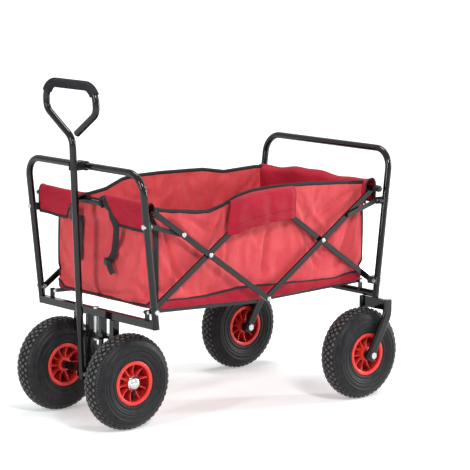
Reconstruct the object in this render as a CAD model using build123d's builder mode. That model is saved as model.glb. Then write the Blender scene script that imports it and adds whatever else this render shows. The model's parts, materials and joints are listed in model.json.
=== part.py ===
from build123d import *
import os
from math import acos, atan2, cos, degrees, radians, sin, sqrt, tan

# Folding beach cart.  X points forward to the pulling handle, Y to the cart's left, Z up.
# The origin lies on the ground, midway between the two axles.  All sizes in millimetres.

os.makedirs("parts", exist_ok=True)

# ---------------------------------------------------------------- driving dimensions
# wheels
wheelbase = 744.0
front_track = 306.0
fork_shift = 1.0
tyre_radius = 130.0
tyre_width = 75.0
tyre_wall = 7.0
crown_drop = 9.0
shoulder_share = 0.77
groove_width = 3.0
groove_depth = 2.6
groove_places = (-19.5, -6.5, 6.5, 19.5)
bead_radius = 54.0
rim_lip_radius = 60.0
rim_lip_width = 3.0
rim_barrel_wall = 4.0
rim_web = 6.0
rib_count = 10
rib_thickness = 3.5
rib_depth = 19.0
hub_length = 60.0
hub_radius = 19.0
bearing_radius = 11.0
bearing_width = 8.0
axle_radius = 6.0
hub_gap = 0.6
cap_radius = 19.5
cap_height = 14.0
cap_wall = 1.5
nut_radius = 10.0
bead_overhang = 1.0
nut_height = 7.0

# frame tubes
tube_radius = 9.5
tube_wall = 1.5
hoop_bend = 55.0
frame_lean = 6.6
front_half_width = 254.0
rear_hoop_extra = 9.0
front_foot_x = 353.0
front_foot_z = 283.0
front_top_z = 695.0
rear_foot_x = -433.4
rear_foot_z = 281.0
rear_top_z = 700.0
crossbar_side = 20.0
rear_crossbar_z = 292.0

# steering
kingpin_x = 358.0
kingpin_radius = 5.0
kingpin_sleeve_radius = 7.0
kingpin_head = 6.0
kingpin_nut_radius = 9.0
running_gap = 0.3
hanger_drop = 53.0
hanger_bar = 9.0
hanger_depth = 20.0
hanger_post_y = 80.0
hanger_post_width = 17.0
inner_post_y = 28.0
inner_post_width = 13.0
yoke_plate = 6.0
yoke_overhang = 3.0
yoke_corner = 4.0
strut_y = 24.0
strut_width = 14.0
strut_thickness = 6.0
yoke_tie_z = 170.0
yoke_tie_radius = 2.5
axle_tube_radius = 11.0
axle_tube_wall = 2.5

# pulling handle
handle_pivot_x = 406.0
handle_pivot_z = 130.0
handle_lean = 2.6
handle_radius = 9.5
handle_wall = 1.5
handle_tail = 14.0
handle_neck = 640.0
handle_diagonal_rise = 73.0
handle_loop_height = 71.0
handle_half_width = 110.0
handle_end_y = 24.0
handle_neck_bend = 40.0
handle_shoulder_bend = 32.0
handle_top_bend = 45.0
grip_radius = 13.0
grip_sweep = 60.0
handle_bolt_radius = 4.0
handle_bolt_hex = 7.2
handle_bolt_head = 5.0
handle_bolt_end = 6.0
press_gap = 0.1
plug_flange = 3.0
plug_depth = 10.0
ear_play = 0.5
ear_thickness = 3.0
clip_wall = 3.5
clip_height = 24.0
clip_length = 34.0
clip_play = 1.0
clip_mouth = 14.25

# scissor bars
pivot_z = 330.0
low_joint_z = 320.0
rod_z = 592.0
bar_width = 15.0
bar_thickness = 6.0
bar_wall = 1.2
bar_pitch = 8.5
bar_inset = 5.0
rivet_radius = 3.0
rivet_hole = 3.2
rivet_head = 6.5
small_head = 5.5
pin_head = 4.5
head_height = 2.0
bolt_head = 3.0
rod_radius = 6.5
front_rod_end = 11.0
rear_rod_end = 7.0
fold_angle_folded = 76.0

# tie links from the legs to the bars, at a quarter of the bar's length
tie_pivot_x = 368.0
tie_width = 13.0
tie_thickness = 3.0
tie_share = 0.25
bracket_height = 20.0
bracket_overhang = 7.0
bracket_wall = 2.2

# floor rails
rail_inset = 8.5
rail_pivot_z = 322.0
rail_sag = 14.0
rail_height = 10.0
rail_thickness = 8.0
rail_margin = 17.0
rail_pitch = 9.0
tab_thickness = 3.4
tab_width = 14.0

# rear forks
fork_arm_offset = 48.0
fork_arm_width = 30.0
fork_arm_thickness = 14.0
fork_wall = 2.5
fork_straight = 42.0
fork_bend = 60.0
fork_tail = 17.0
fork_bridge_height = 30.0
fork_bridge_depth = 12.0
fork_boss_wall = 5.0
lug_depth = 9.0
lug_sink = 3.0
lug_pin_depth = 16.0

# fabric basket
panel_thickness = 6.0
edge_front_rise = 6.0
edge_dip_start_x = 235.0
edge_dip_start = -14.0
edge_dip_x = 140.0
edge_dip = -18.0
edge_sleeve_rise = 14.0
edge_peak_rise = 26.0
edge_rear_rise = 14.0
basket_clearance = 9.0
basket_front_x = 337.0
basket_rear_x = -425.0
basket_floor_z = 331.0
floor_thickness = 8.0
flap_radius = 10.0
flap_wall = 4.0
flap_drop = 48.0
flap_overhang = 9.0
flap_gap_top = 45.0
flap_gap_bottom = 110.0
front_panel_low_z = 331.0
sleeve_half_length = 105.0
sleeve_centre_x = -24.0
sleeve_top_z = 620.0
sleeve_low_z = 528.0
sleeve_clearance = 13.0
sleeve_thickness = 4.0

# ---------------------------------------------------------------- worked out
front_axle_x = wheelbase / 2
rear_axle_x = -wheelbase / 2
rear_half_width = front_half_width + rear_hoop_extra
rear_track = 2 * (rear_half_width + fork_shift)
handle_shoulder = handle_neck + handle_diagonal_rise
handle_top = handle_shoulder + handle_loop_height
front_rod_reach = front_half_width + front_rod_end
rear_rod_reach = rear_half_width + rear_rod_end
lean_slope = tan(radians(frame_lean))


def front_leg_x(z):
    """Where the front legs' centre line stands at a height."""
    return front_foot_x + (z - front_foot_z) * lean_slope


def rear_leg_x(z):
    """Where the rear legs' centre line stands at a height."""
    return rear_foot_x - (z - rear_foot_z) * lean_slope


front_pin_x = front_leg_x(pivot_z)
rear_pin_x = rear_leg_x(pivot_z)
middle_x = (front_pin_x + rear_pin_x) / 2
half_span = (front_pin_x - rear_pin_x) / 2
bar_rise = rod_z - low_joint_z
bar_length = sqrt(half_span**2 + bar_rise**2)
bar_angle = degrees(atan2(bar_rise, half_span))
top_joint_z = pivot_z + bar_rise
cross_share = (top_joint_z - low_joint_z) / (2 * bar_rise)
rod_share = 2 * (1 - cross_share)
fold_travel = 2 * (half_span - bar_length * cos(radians(fold_angle_folded)))
outer_bar_y = front_half_width - bar_inset
middle_bar_y = outer_bar_y - bar_pitch
inner_bar_y = outer_bar_y - 2 * bar_pitch
side_outer_y = inner_bar_y - basket_clearance
sleeve_outer_y = outer_bar_y + sleeve_clearance
flap_half_width = side_outer_y + flap_overhang
front_rail_y = side_outer_y - rail_margin


def quarter_point(angle):
    """The tie link's pin on the front rod bar when the bars stand at an angle."""
    a = radians(angle)
    return (
        front_pin_x - tie_share * bar_length * cos(a),
        pivot_z + (rod_share - tie_share) * bar_length * sin(a),
    )


def tie_pivot_height():
    """The height on the leg from which the pin is equally far, open and folded."""
    x0, z0 = quarter_point(bar_angle)
    x1, z1 = quarter_point(fold_angle_folded)
    mid_x, mid_z = (x0 + x1) / 2, (z0 + z1) / 2
    return mid_z - (tie_pivot_x - mid_x) * (x1 - x0) / (z1 - z0)


tie_pivot_z = tie_pivot_height()
tie_pin_x, tie_pin_z = quarter_point(bar_angle)
tie_inset = tie_pivot_x - front_pin_x
rail_front_x = front_pin_x - rail_inset
rail_rear_x = rear_pin_x + rail_inset
rail_run = (rail_front_x - rail_rear_x) / 2
rail_length = sqrt(rail_run**2 + rail_sag**2)
rail_angle_folded = degrees(acos((rail_run - fold_travel / 2) / rail_length))
hanger_low_z = front_foot_z - hanger_drop
yoke_top_z = hanger_low_z - running_gap
crossbar_x = front_leg_x(front_foot_z + crossbar_side / 2)
crossbar_top_z = front_foot_z + crossbar_side
rear_crossbar_x = rear_leg_x(rear_crossbar_z)
lean_sin = sin(radians(frame_lean))
lean_cos = cos(radians(frame_lean))
front_hoop_plane = Plane(
    origin=(front_foot_x, 0, front_foot_z),
    x_dir=(0, 1, 0),
    z_dir=(lean_cos, 0, -lean_sin),
)
rear_hoop_plane = Plane(
    origin=(rear_foot_x, 0, rear_foot_z),
    x_dir=(0, 1, 0),
    z_dir=(lean_cos, 0, lean_sin),
)
handle_plane = Plane(
    origin=(handle_pivot_x, 0, handle_pivot_z),
    x_dir=(0, 1, 0),
    z_dir=(cos(radians(handle_lean)), 0, -sin(radians(handle_lean))),
)


def save(piece, name):
    """Label a finished piece and write it."""
    piece.part.label = name
    export_step(piece.part, f"parts/{name}.step")


def swept_tube(path, radius, wall=0.0):
    """A round tube, or a rod where the wall is 0, along a path."""
    with BuildPart() as tube:
        with BuildSketch(Plane(origin=path @ 0, z_dir=path % 0)):
            Circle(radius)
            if wall:
                Circle(radius - wall, mode=Mode.SUBTRACT)
        sweep(path=path)
    return tube


def cylinder_y(x, y_low, y_high, z, radius):
    """A cylinder along Y."""
    with BuildPart() as rod:
        with BuildSketch(Plane(origin=(x, y_low, z), z_dir=(0, 1, 0))):
            Circle(radius)
        extrude(amount=y_high - y_low)
    return rod


def cylinder_x(x_low, x_high, y, z, radius):
    """A cylinder along X."""
    with BuildPart() as rod:
        with BuildSketch(Plane(origin=(x_low, y, z), z_dir=(1, 0, 0))):
            Circle(radius)
        extrude(amount=x_high - x_low)
    return rod


def block(x, y, z):
    """A block between two values on each axis."""
    with BuildPart() as box:
        with BuildSketch(Plane.XY.offset(z[0])):
            with Locations(((x[0] + x[1]) / 2, (y[0] + y[1]) / 2)):
                Rectangle(x[1] - x[0], y[1] - y[0])
        extrude(amount=z[1] - z[0])
    return box


def mirrored(piece):
    """The same piece on the cart's right."""
    with BuildPart() as other:
        mirror(piece.part, about=Plane.XZ)
    return other


def pair(piece):
    """A piece and its mirror image as one group of separate solids."""
    with BuildPart() as both:
        add(piece.part)
        mirror(piece.part, about=Plane.XZ)
    return both


# ---------------------------------------------------------------- wheels
def wheel_plane(x, y):
    """Local x runs along the axle to the left, local y up the wheel's radius."""
    return Plane(origin=(x, y, tyre_radius), x_dir=(0, 1, 0), z_dir=(1, 0, 0))


def wheel_axis(x, y):
    return Axis((x, y, tyre_radius), (0, 1, 0))


shoulder = shoulder_share * tyre_width / 2


def crown_radius(place):
    """How far the tread stands from the axle at a distance from its middle."""
    return tyre_radius - crown_drop * (place / shoulder) ** 2


def make_tyre(x, y):
    """The tyre's outside with its ribbed tread and its hollow, open at the rim."""
    half = tyre_width / 2
    bead = hub_length / 2 + bead_overhang
    belly = (bead_radius + tyre_radius) / 2
    with BuildPart() as tyre:
        with BuildSketch(wheel_plane(x, y)):
            with BuildLine():
                Line((bead, bead_radius), (bead, rim_lip_radius + 1))
                ThreePointArc(
                    (bead, rim_lip_radius + 1),
                    (half, belly),
                    (shoulder, tyre_radius - crown_drop),
                )
                ThreePointArc(
                    (shoulder, tyre_radius - crown_drop),
                    (0, tyre_radius),
                    (-shoulder, tyre_radius - crown_drop),
                )
                ThreePointArc(
                    (-shoulder, tyre_radius - crown_drop),
                    (-half, belly),
                    (-bead, rim_lip_radius + 1),
                )
                Line((-bead, rim_lip_radius + 1), (-bead, bead_radius))
                Line((-bead, bead_radius), (tyre_wall - bead, bead_radius))
                Line((tyre_wall - bead, bead_radius), (tyre_wall - bead, rim_lip_radius + 1))
                ThreePointArc(
                    (tyre_wall - bead, rim_lip_radius + 1),
                    (tyre_wall - half, belly),
                    (tyre_wall - shoulder, tyre_radius - crown_drop - tyre_wall),
                )
                ThreePointArc(
                    (tyre_wall - shoulder, tyre_radius - crown_drop - tyre_wall),
                    (0, tyre_radius - tyre_wall),
                    (shoulder - tyre_wall, tyre_radius - crown_drop - tyre_wall),
                )
                ThreePointArc(
                    (shoulder - tyre_wall, tyre_radius - crown_drop - tyre_wall),
                    (half - tyre_wall, belly),
                    (bead - tyre_wall, rim_lip_radius + 1),
                )
                Line((bead - tyre_wall, rim_lip_radius + 1), (bead - tyre_wall, bead_radius))
                Line((bead - tyre_wall, bead_radius), (bead, bead_radius))
            make_face()
            for place in groove_places:
                with Locations((place, crown_radius(place))):
                    Rectangle(groove_width, 2 * groove_depth, mode=Mode.SUBTRACT)
        revolve(axis=wheel_axis(x, y))
    return tyre


def make_rim(x, y):
    """Barrel with two lips, a web with ribs on both faces, and the hub."""
    bead = hub_length / 2 + bead_overhang
    inner = bead_radius - rim_barrel_wall
    with BuildPart() as rim:
        with BuildSketch(wheel_plane(x, y)):
            with Locations((0, (bead_radius + inner) / 2)):
                Rectangle(2 * (bead + rim_lip_width), rim_barrel_wall)
            for side in (-1, 1):
                with Locations((side * (bead + rim_lip_width / 2), (rim_lip_radius + inner) / 2)):
                    Rectangle(rim_lip_width, rim_lip_radius - inner)
            with Locations((0, (inner + hub_radius) / 2)):
                Rectangle(rim_web, inner - hub_radius + 2)
            with Locations((0, (hub_radius + bearing_radius) / 2)):
                Rectangle(hub_length, hub_radius - bearing_radius)
        revolve(axis=wheel_axis(x, y))
        for side in (-1, 1):
            rib_face = Plane(
                origin=(x, y + side * rim_web / 2, tyre_radius), z_dir=(0, side, 0)
            )
            with BuildSketch(rib_face):
                with PolarLocations(0, rib_count):
                    with Locations(((inner + hub_radius) / 2, 0)):
                        Rectangle(inner - hub_radius + 2, rib_thickness)
            extrude(amount=rib_depth)
    return rim


def make_bearings(x, y):
    """Two bushes, one in each end of the hub."""
    with BuildPart() as bearings:
        with BuildSketch(wheel_plane(x, y)):
            for side in (-1, 1):
                axial = side * (hub_length - bearing_width) / 2
                with Locations((axial, (bearing_radius + axle_radius) / 2)):
                    Rectangle(bearing_width, bearing_radius - axle_radius)
        revolve(axis=wheel_axis(x, y))
    return bearings


def make_cap(x, y):
    """A domed cap on the hub's outer end, over the axle's nut."""
    base = hub_length / 2
    with BuildPart() as cap:
        with BuildSketch(wheel_plane(x, y)):
            with BuildLine():
                Line((base, cap_radius - cap_wall), (base, cap_radius))
                EllipticalCenterArc((base, 0), cap_height, cap_radius, start_angle=0, arc_size=90)
                Line((base + cap_height, 0), (base + cap_height - cap_wall, 0))
                EllipticalCenterArc(
                    (base, 0), cap_height - cap_wall, cap_radius - cap_wall, start_angle=0, arc_size=90
                )
            make_face()
        revolve(axis=wheel_axis(x, y))
    return cap


wheel_places = {
    "front_left": (front_axle_x, front_track / 2),
    "front_right": (front_axle_x, -front_track / 2),
    "rear_left": (rear_axle_x, rear_track / 2),
    "rear_right": (rear_axle_x, -rear_track / 2),
}
for place, (wheel_x, wheel_y) in wheel_places.items():
    save(make_tyre(wheel_x, wheel_y), f"{place}_tyre")
    save(make_rim(wheel_x, wheel_y), f"{place}_rim")
    save(make_bearings(wheel_x, wheel_y), f"{place}_bearings")
front_left_cap = make_cap(front_axle_x, front_track / 2)
save(front_left_cap, "front_left_cap")
save(mirrored(front_left_cap), "front_right_cap")

# ---------------------------------------------------------------- front frame
front_leg_length = (front_top_z - front_foot_z) / lean_cos
with BuildLine(front_hoop_plane) as front_hoop_line:
    FilletPolyline(
        (-front_half_width, 0),
        (-front_half_width, front_leg_length),
        (front_half_width, front_leg_length),
        (front_half_width, 0),
        radius=hoop_bend,
    )
front_hoop_path = front_hoop_line.wire()
front_hoop_solid = swept_tube(front_hoop_path, tube_radius)
front_bolt_y = front_half_width + tube_radius
front_tie_leg_x = front_leg_x(tie_pivot_z)

with BuildPart() as leg_bolt:
    low_head = middle_bar_y - bar_thickness / 2 - head_height
    add(cylinder_y(front_pin_x, low_head, front_bolt_y, pivot_z, rivet_radius).part)
    add(cylinder_y(front_pin_x, low_head, low_head + head_height, pivot_z, rivet_head).part)
    add(cylinder_y(front_pin_x, front_bolt_y, front_bolt_y + bolt_head, pivot_z, rivet_head).part)

bracket_bolt_low = front_tie_leg_x - tube_radius - bracket_wall - bolt_head
bracket_bolt_high = front_tie_leg_x + tube_radius
with BuildPart() as front_bracket_bolt:
    add(
        cylinder_x(
            front_tie_leg_x, bracket_bolt_high + bolt_head, front_half_width, tie_pivot_z, rivet_head
        ).part
    )
    add(front_hoop_solid.part, mode=Mode.SUBTRACT)
    add(
        cylinder_x(
            bracket_bolt_low, bracket_bolt_high + 1, front_half_width, tie_pivot_z, rivet_radius
        ).part
    )
    add(
        cylinder_x(
            bracket_bolt_low, bracket_bolt_low + bolt_head, front_half_width, tie_pivot_z, small_head
        ).part
    )

with BuildPart() as front_hoop:
    add(swept_tube(front_hoop_path, tube_radius, tube_wall).part)
    for side in (-1, 1):
        add(
            cylinder_y(
                front_pin_x,
                side * front_half_width - 2 * tube_radius,
                side * front_half_width + 2 * tube_radius,
                pivot_z,
                rivet_radius,
            ).part,
            mode=Mode.SUBTRACT,
        )
        add(
            cylinder_x(
                front_tie_leg_x - 2 * tube_radius,
                front_tie_leg_x + 2 * tube_radius,
                side * front_half_width,
                tie_pivot_z,
                rivet_radius,
            ).part,
            mode=Mode.SUBTRACT,
        )
save(front_hoop, "front_hoop")

with BuildPart() as front_crossbar:
    bar_end = Plane(
        origin=(crossbar_x, -front_half_width, front_foot_z + crossbar_side / 2),
        z_dir=(0, 1, 0),
    )
    with BuildSketch(bar_end):
        Rectangle(crossbar_side, crossbar_side)
        inside = crossbar_side - 2 * tube_wall
        Rectangle(inside, inside, mode=Mode.SUBTRACT)
    extrude(amount=2 * front_half_width)
    add(front_hoop_solid.part, mode=Mode.SUBTRACT)
    add(
        block(
            (crossbar_x - crossbar_side, crossbar_x + crossbar_side),
            (front_half_width, front_half_width + tube_radius),
            (front_foot_z - 1, crossbar_top_z + 1),
        ).part,
        mode=Mode.SUBTRACT,
    )
    with Locations((kingpin_x, 0, front_foot_z + crossbar_side / 2)):
        Cylinder(kingpin_radius, 2 * crossbar_side, mode=Mode.SUBTRACT)
with BuildPart() as crossbar_trimmed:
    add(front_crossbar.part.solids().sort_by(SortBy.VOLUME)[-1])
save(crossbar_trimmed, "front_crossbar")

with BuildPart() as steering_hanger:
    hanger_x = (kingpin_x - hanger_depth / 2, kingpin_x + hanger_depth / 2)
    reach = hanger_post_y + hanger_post_width / 2
    add(block(hanger_x, (-reach, reach), (hanger_low_z, hanger_low_z + hanger_bar)).part)
    for post_y, post_width in ((hanger_post_y, hanger_post_width), (inner_post_y, inner_post_width)):
        for side in (-1, 1):
            low, high = side * post_y - post_width / 2, side * post_y + post_width / 2
            add(block(hanger_x, (low, high), (hanger_low_z, front_foot_z)).part)
    with Locations((kingpin_x, 0, hanger_low_z)):
        Cylinder(kingpin_radius, 4 * hanger_bar, mode=Mode.SUBTRACT)
save(steering_hanger, "steering_hanger")

kingpin_low_z = yoke_top_z - yoke_plate - running_gap
with BuildPart() as kingpin:
    with BuildSketch(Plane.XY.offset(kingpin_low_z - nut_height)):
        with Locations((kingpin_x, 0)):
            Circle(kingpin_radius)
    extrude(amount=crossbar_top_z - kingpin_low_z + nut_height)
    with BuildSketch(Plane.XY.offset(kingpin_low_z - nut_height)):
        with Locations((kingpin_x, 0)):
            RegularPolygon(kingpin_nut_radius, 6)
    extrude(amount=nut_height)
    with BuildSketch(Plane.XY.offset(hanger_low_z + hanger_bar)):
        with Locations((kingpin_x, 0)):
            Circle(kingpin_sleeve_radius)
    extrude(amount=front_foot_z - hanger_low_z - hanger_bar)
    with BuildSketch(Plane.XY.offset(crossbar_top_z)):
        with Locations((kingpin_x, 0)):
            RegularPolygon(kingpin_nut_radius, 6)
    extrude(amount=kingpin_head)
save(kingpin, "kingpin")

tie_y = middle_bar_y
tie_end = tie_width / 2
saddle_x = tie_pivot_x + tie_end + 1
with BuildPart() as front_tie_bracket:
    saddle_y = (tie_y - tie_thickness / 2 - running_gap - bracket_wall, front_half_width + bracket_overhang)
    z_span = (tie_pivot_z - bracket_height / 2, tie_pivot_z + bracket_height / 2)
    add(block((saddle_x, front_tie_leg_x), saddle_y, z_span).part)
    for side in (-1, 1):
        face = tie_y + side * (tie_thickness / 2 + running_gap)
        plate_y = sorted((face, face + side * bracket_wall))
        add(block((tie_pivot_x - tie_end, saddle_x + 1), plate_y, z_span).part)
    add(front_hoop_solid.part, mode=Mode.SUBTRACT)
    add(
        cylinder_y(tie_pivot_x, tie_y - tie_width, tie_y + tie_width, tie_pivot_z, rivet_radius).part,
        mode=Mode.SUBTRACT,
    )
    add(front_bracket_bolt.part, mode=Mode.SUBTRACT)
rail_pin_reach = front_rail_y + rail_thickness / 2 + running_gap + tab_thickness
front_tab_y = (front_rail_y + rail_thickness / 2 + running_gap, rail_pin_reach)
with BuildPart() as front_rail_tab:
    tab_x = (rail_front_x - tab_width / 2, rail_front_x + tab_width / 2)
    add(block(tab_x, front_tab_y, (crossbar_top_z, rail_pivot_z + tab_width / 2)).part)
    add(
        cylinder_y(rail_front_x, front_tab_y[0] - 1, front_tab_y[1] + 1, rail_pivot_z, rivet_radius).part,
        mode=Mode.SUBTRACT,
    )
with BuildPart() as front_brackets_left:
    add(front_tie_bracket.part)
    add(front_rail_tab.part)
save(pair(front_brackets_left), "front_brackets")


def rivet(x, z, y_low, y_high, head=rivet_head):
    """A rivet along Y whose heads stand on the two faces at y_low and y_high."""
    with BuildPart() as pin:
        add(cylinder_y(x, y_low - head_height, y_high + head_height, z, rivet_radius).part)
        add(cylinder_y(x, y_low - head_height, y_low, z, head).part)
        add(cylinder_y(x, y_high, y_high + head_height, z, head).part)
    return pin


bracket_reach = tie_thickness / 2 + running_gap + bracket_wall
with BuildPart() as front_bolts:
    add(leg_bolt.part)
    add(front_bracket_bolt.part)
    tie_pin_span = (tie_y - bracket_reach, tie_y + bracket_reach)
    add(rivet(tie_pivot_x, tie_pivot_z, *tie_pin_span, pin_head).part)
    rail_pin_span = (front_rail_y - rail_thickness / 2, front_tab_y[1])
    add(rivet(rail_front_x, rail_pivot_z, *rail_pin_span, pin_head).part)
save(pair(front_bolts), "front_frame_bolts")

clip_bar_x = front_leg_x(front_top_z)
clip_handle_x = handle_pivot_x + (front_top_z - handle_pivot_z) * tan(radians(handle_lean))
with BuildPart() as handle_clip:
    add(
        cylinder_y(
            clip_bar_x, -clip_length / 2, clip_length / 2, front_top_z, tube_radius + clip_wall
        ).part
    )
    with BuildSketch(Plane.XY.offset(front_top_z - clip_height / 2)):
        with Locations((clip_handle_x, 0)):
            Circle(handle_radius + clip_wall)
        with Locations(((clip_handle_x + clip_bar_x) / 2, 0)):
            Rectangle(clip_handle_x - clip_bar_x, 2 * handle_radius)
    extrude(amount=clip_height)
    add(front_hoop_solid.part, mode=Mode.SUBTRACT)
    with BuildSketch(Plane.XY.offset(front_top_z - clip_height)):
        with Locations((clip_handle_x, 0)):
            Circle(handle_radius + clip_play)
        with Locations((clip_handle_x + handle_radius + clip_wall, 0)):
            Rectangle(2 * clip_wall + handle_radius, clip_mouth)
    extrude(amount=2 * clip_height, mode=Mode.SUBTRACT)
save(handle_clip, "handle_clip")

# ---------------------------------------------------------------- steering group
axle_tube_half = (front_track - hub_length) / 2 - hub_gap
axle_tube_solid = cylinder_y(
    front_axle_x, -axle_tube_half, axle_tube_half, tyre_radius, axle_tube_radius
)
with BuildPart() as front_axle_tube:
    add(axle_tube_solid.part)
    add(
        cylinder_y(
            front_axle_x, -axle_tube_half, axle_tube_half, tyre_radius, axle_radius
        ).part,
        mode=Mode.SUBTRACT,
    )
save(front_axle_tube, "front_axle_tube")

axle_half = front_track / 2 + hub_length / 2 + hub_gap
with BuildPart() as front_axle_rod:
    add(
        cylinder_y(
            front_axle_x, -axle_half - nut_height, axle_half + nut_height, tyre_radius, axle_radius
        ).part
    )
    for side in (-1, 1):
        with BuildSketch(
            Plane(origin=(front_axle_x, side * axle_half, tyre_radius), z_dir=(0, side, 0))
        ):
            RegularPolygon(nut_radius, 6)
        extrude(amount=nut_height)
save(front_axle_rod, "front_axle_rod")

with BuildPart() as steering_yoke:
    plate_reach = strut_y + strut_width / 2
    with BuildSketch(Plane.XY.offset(yoke_top_z - yoke_plate)):
        with Locations((kingpin_x, 0)):
            RectangleRounded(hanger_depth + 2 * yoke_overhang, 2 * plate_reach, yoke_corner)
    extrude(amount=yoke_plate)
    for side in (-1, 1):
        with BuildSketch(Plane.XZ.offset(-side * strut_y)):
            top_z = yoke_top_z - yoke_plate / 2
            half = strut_thickness / 2
            Polygon(
                (kingpin_x - half, top_z),
                (kingpin_x + half, top_z),
                (front_axle_x + half, tyre_radius),
                (front_axle_x - half, tyre_radius),
                align=None,
            )
        extrude(amount=strut_width / 2, both=True)
    share = (yoke_tie_z - tyre_radius) / (yoke_top_z - yoke_plate / 2 - tyre_radius)
    tie_x = front_axle_x + (kingpin_x - front_axle_x) * share
    add(cylinder_y(tie_x, -strut_y, strut_y, yoke_tie_z, yoke_tie_radius).part)
    with Locations((kingpin_x, 0, yoke_top_z)):
        Cylinder(kingpin_radius + running_gap, 4 * yoke_plate, mode=Mode.SUBTRACT)
    add(axle_tube_solid.part, mode=Mode.SUBTRACT)
save(steering_yoke, "steering_yoke")

ear_inner = handle_radius + ear_play
ear_outer = ear_inner + ear_thickness
with BuildPart() as handle_clevis:
    with BuildSketch(Plane.XZ) as ear_side:
        with Locations((front_axle_x, tyre_radius)):
            Circle(axle_tube_radius + ear_thickness)
        with Locations((handle_pivot_x, handle_pivot_z)):
            Circle(handle_radius)
        make_hull()
    extrude(amount=ear_outer, both=True)
    add(axle_tube_solid.part, mode=Mode.SUBTRACT)
    slot_x = front_axle_x + axle_tube_radius + ear_thickness
    add(
        block(
            (slot_x, handle_pivot_x + 2 * handle_radius),
            (-ear_inner, ear_inner),
            (handle_pivot_z - 3 * handle_radius, handle_pivot_z + 3 * handle_radius),
        ).part,
        mode=Mode.SUBTRACT,
    )
    add(
        cylinder_y(
            handle_pivot_x, -2 * ear_outer, 2 * ear_outer, handle_pivot_z, handle_bolt_radius
        ).part,
        mode=Mode.SUBTRACT,
    )
save(handle_clevis, "handle_clevis")

with BuildPart() as handle_bolt:
    reach = ear_outer + handle_bolt_end
    add(cylinder_y(handle_pivot_x, -reach, reach, handle_pivot_z, handle_bolt_radius).part)
    for side in (-1, 1):
        with BuildSketch(
            Plane(origin=(handle_pivot_x, side * ear_outer, handle_pivot_z), z_dir=(0, side, 0))
        ):
            RegularPolygon(handle_bolt_hex, 6)
        extrude(amount=handle_bolt_head)
save(handle_bolt, "handle_bolt")

# ---------------------------------------------------------------- pulling handle
diagonal_share = (handle_half_width - handle_end_y) / handle_half_width
handle_end = (handle_end_y, handle_shoulder - (handle_shoulder - handle_neck) * diagonal_share)
with BuildLine(handle_plane) as handle_line:
    FilletPolyline(
        (0, -handle_tail),
        (0, handle_neck),
        (-handle_half_width, handle_shoulder),
        (-handle_half_width, handle_top),
        (handle_half_width, handle_top),
        (handle_half_width, handle_shoulder),
        handle_end,
        radius=[
            handle_neck_bend,
            handle_shoulder_bend,
            handle_top_bend,
            handle_top_bend,
            handle_shoulder_bend,
        ],
    )
handle_path = handle_line.wire()
with BuildPart() as handle_tube:
    add(swept_tube(handle_path, handle_radius, handle_wall).part)
    add(
        cylinder_y(
            handle_pivot_x,
            -2 * handle_radius,
            2 * handle_radius,
            handle_pivot_z,
            handle_bolt_radius + running_gap,
        ).part,
        mode=Mode.SUBTRACT,
    )
save(handle_tube, "handle_tube")

grip_centre_y = handle_half_width - handle_top_bend
grip_centre_z = handle_top - handle_top_bend
with BuildLine(handle_plane) as grip_line:
    left_turn = CenterArc(
        (-grip_centre_y, grip_centre_z), handle_top_bend, 90 + grip_sweep, -grip_sweep
    )
    Line((-grip_centre_y, handle_top), (grip_centre_y, handle_top))
    CenterArc((grip_centre_y, grip_centre_z), handle_top_bend, 90, -grip_sweep)
grip_path = grip_line.wire()
with BuildPart() as handle_grip:
    with BuildSketch(Plane(origin=grip_path @ 0, z_dir=grip_path % 0)):
        Circle(grip_radius)
        Circle(handle_radius + press_gap, mode=Mode.SUBTRACT)
    sweep(path=grip_path)
save(handle_grip, "handle_grip")

with BuildPart() as handle_plug:
    with BuildSketch(Plane(origin=handle_path @ 1, z_dir=handle_path % 1)):
        Circle(handle_radius)
    extrude(amount=plug_flange)
    with BuildSketch(Plane(origin=handle_path @ 1, z_dir=-(handle_path % 1))):
        Circle(handle_radius - handle_wall - press_gap)
    extrude(amount=plug_depth)
save(handle_plug, "handle_plug")

# ---------------------------------------------------------------- scissor bars
def make_bar(start, end, y, holes):
    """A flat tube between two pivots, with rounded ends and holes at given shares."""
    run_x, run_z = end[0] - start[0], end[1] - start[1]
    length = sqrt(run_x**2 + run_z**2)
    along = (run_x / length, 0, run_z / length)
    side_plane = Plane(origin=(start[0], y, start[1]), x_dir=along, z_dir=(0, -1, 0))
    with BuildPart() as bar:
        with BuildSketch(side_plane):
            with Locations((length / 2, 0)):
                SlotCenterToCenter(length, bar_width)
        extrude(amount=bar_thickness / 2, both=True)
        with BuildSketch(side_plane):
            with Locations((length / 2, 0)):
                SlotCenterToCenter(length, bar_width - 2 * bar_wall)
        extrude(amount=bar_thickness / 2 - bar_wall, both=True, mode=Mode.SUBTRACT)
        with BuildSketch(side_plane):
            with Locations(*[(length * share, 0) for share in holes]):
                Circle(rivet_hole)
        extrude(amount=bar_thickness, both=True, mode=Mode.SUBTRACT)
    return bar


low_joint = (middle_x, low_joint_z)
top_joint = (middle_x, top_joint_z)
bar_layout = {
    "front_rod_bar": (low_joint, (front_pin_x, rod_z), outer_bar_y, (0, cross_share, 1 - tie_share, 1)),
    "front_leg_bar": ((front_pin_x, pivot_z), top_joint, middle_bar_y, (0, 1 - cross_share, 1)),
    "rear_rod_bar": (low_joint, (rear_pin_x, rod_z), middle_bar_y, (0, cross_share, 1 - tie_share, 1)),
    "rear_leg_bar": ((rear_pin_x, pivot_z), top_joint, inner_bar_y, (0, 1 - cross_share, 1)),
}
for bar_name, layout in bar_layout.items():
    left_bar = make_bar(*layout)
    save(left_bar, f"{bar_name}_left")
    save(mirrored(left_bar), f"{bar_name}_right")

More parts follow.
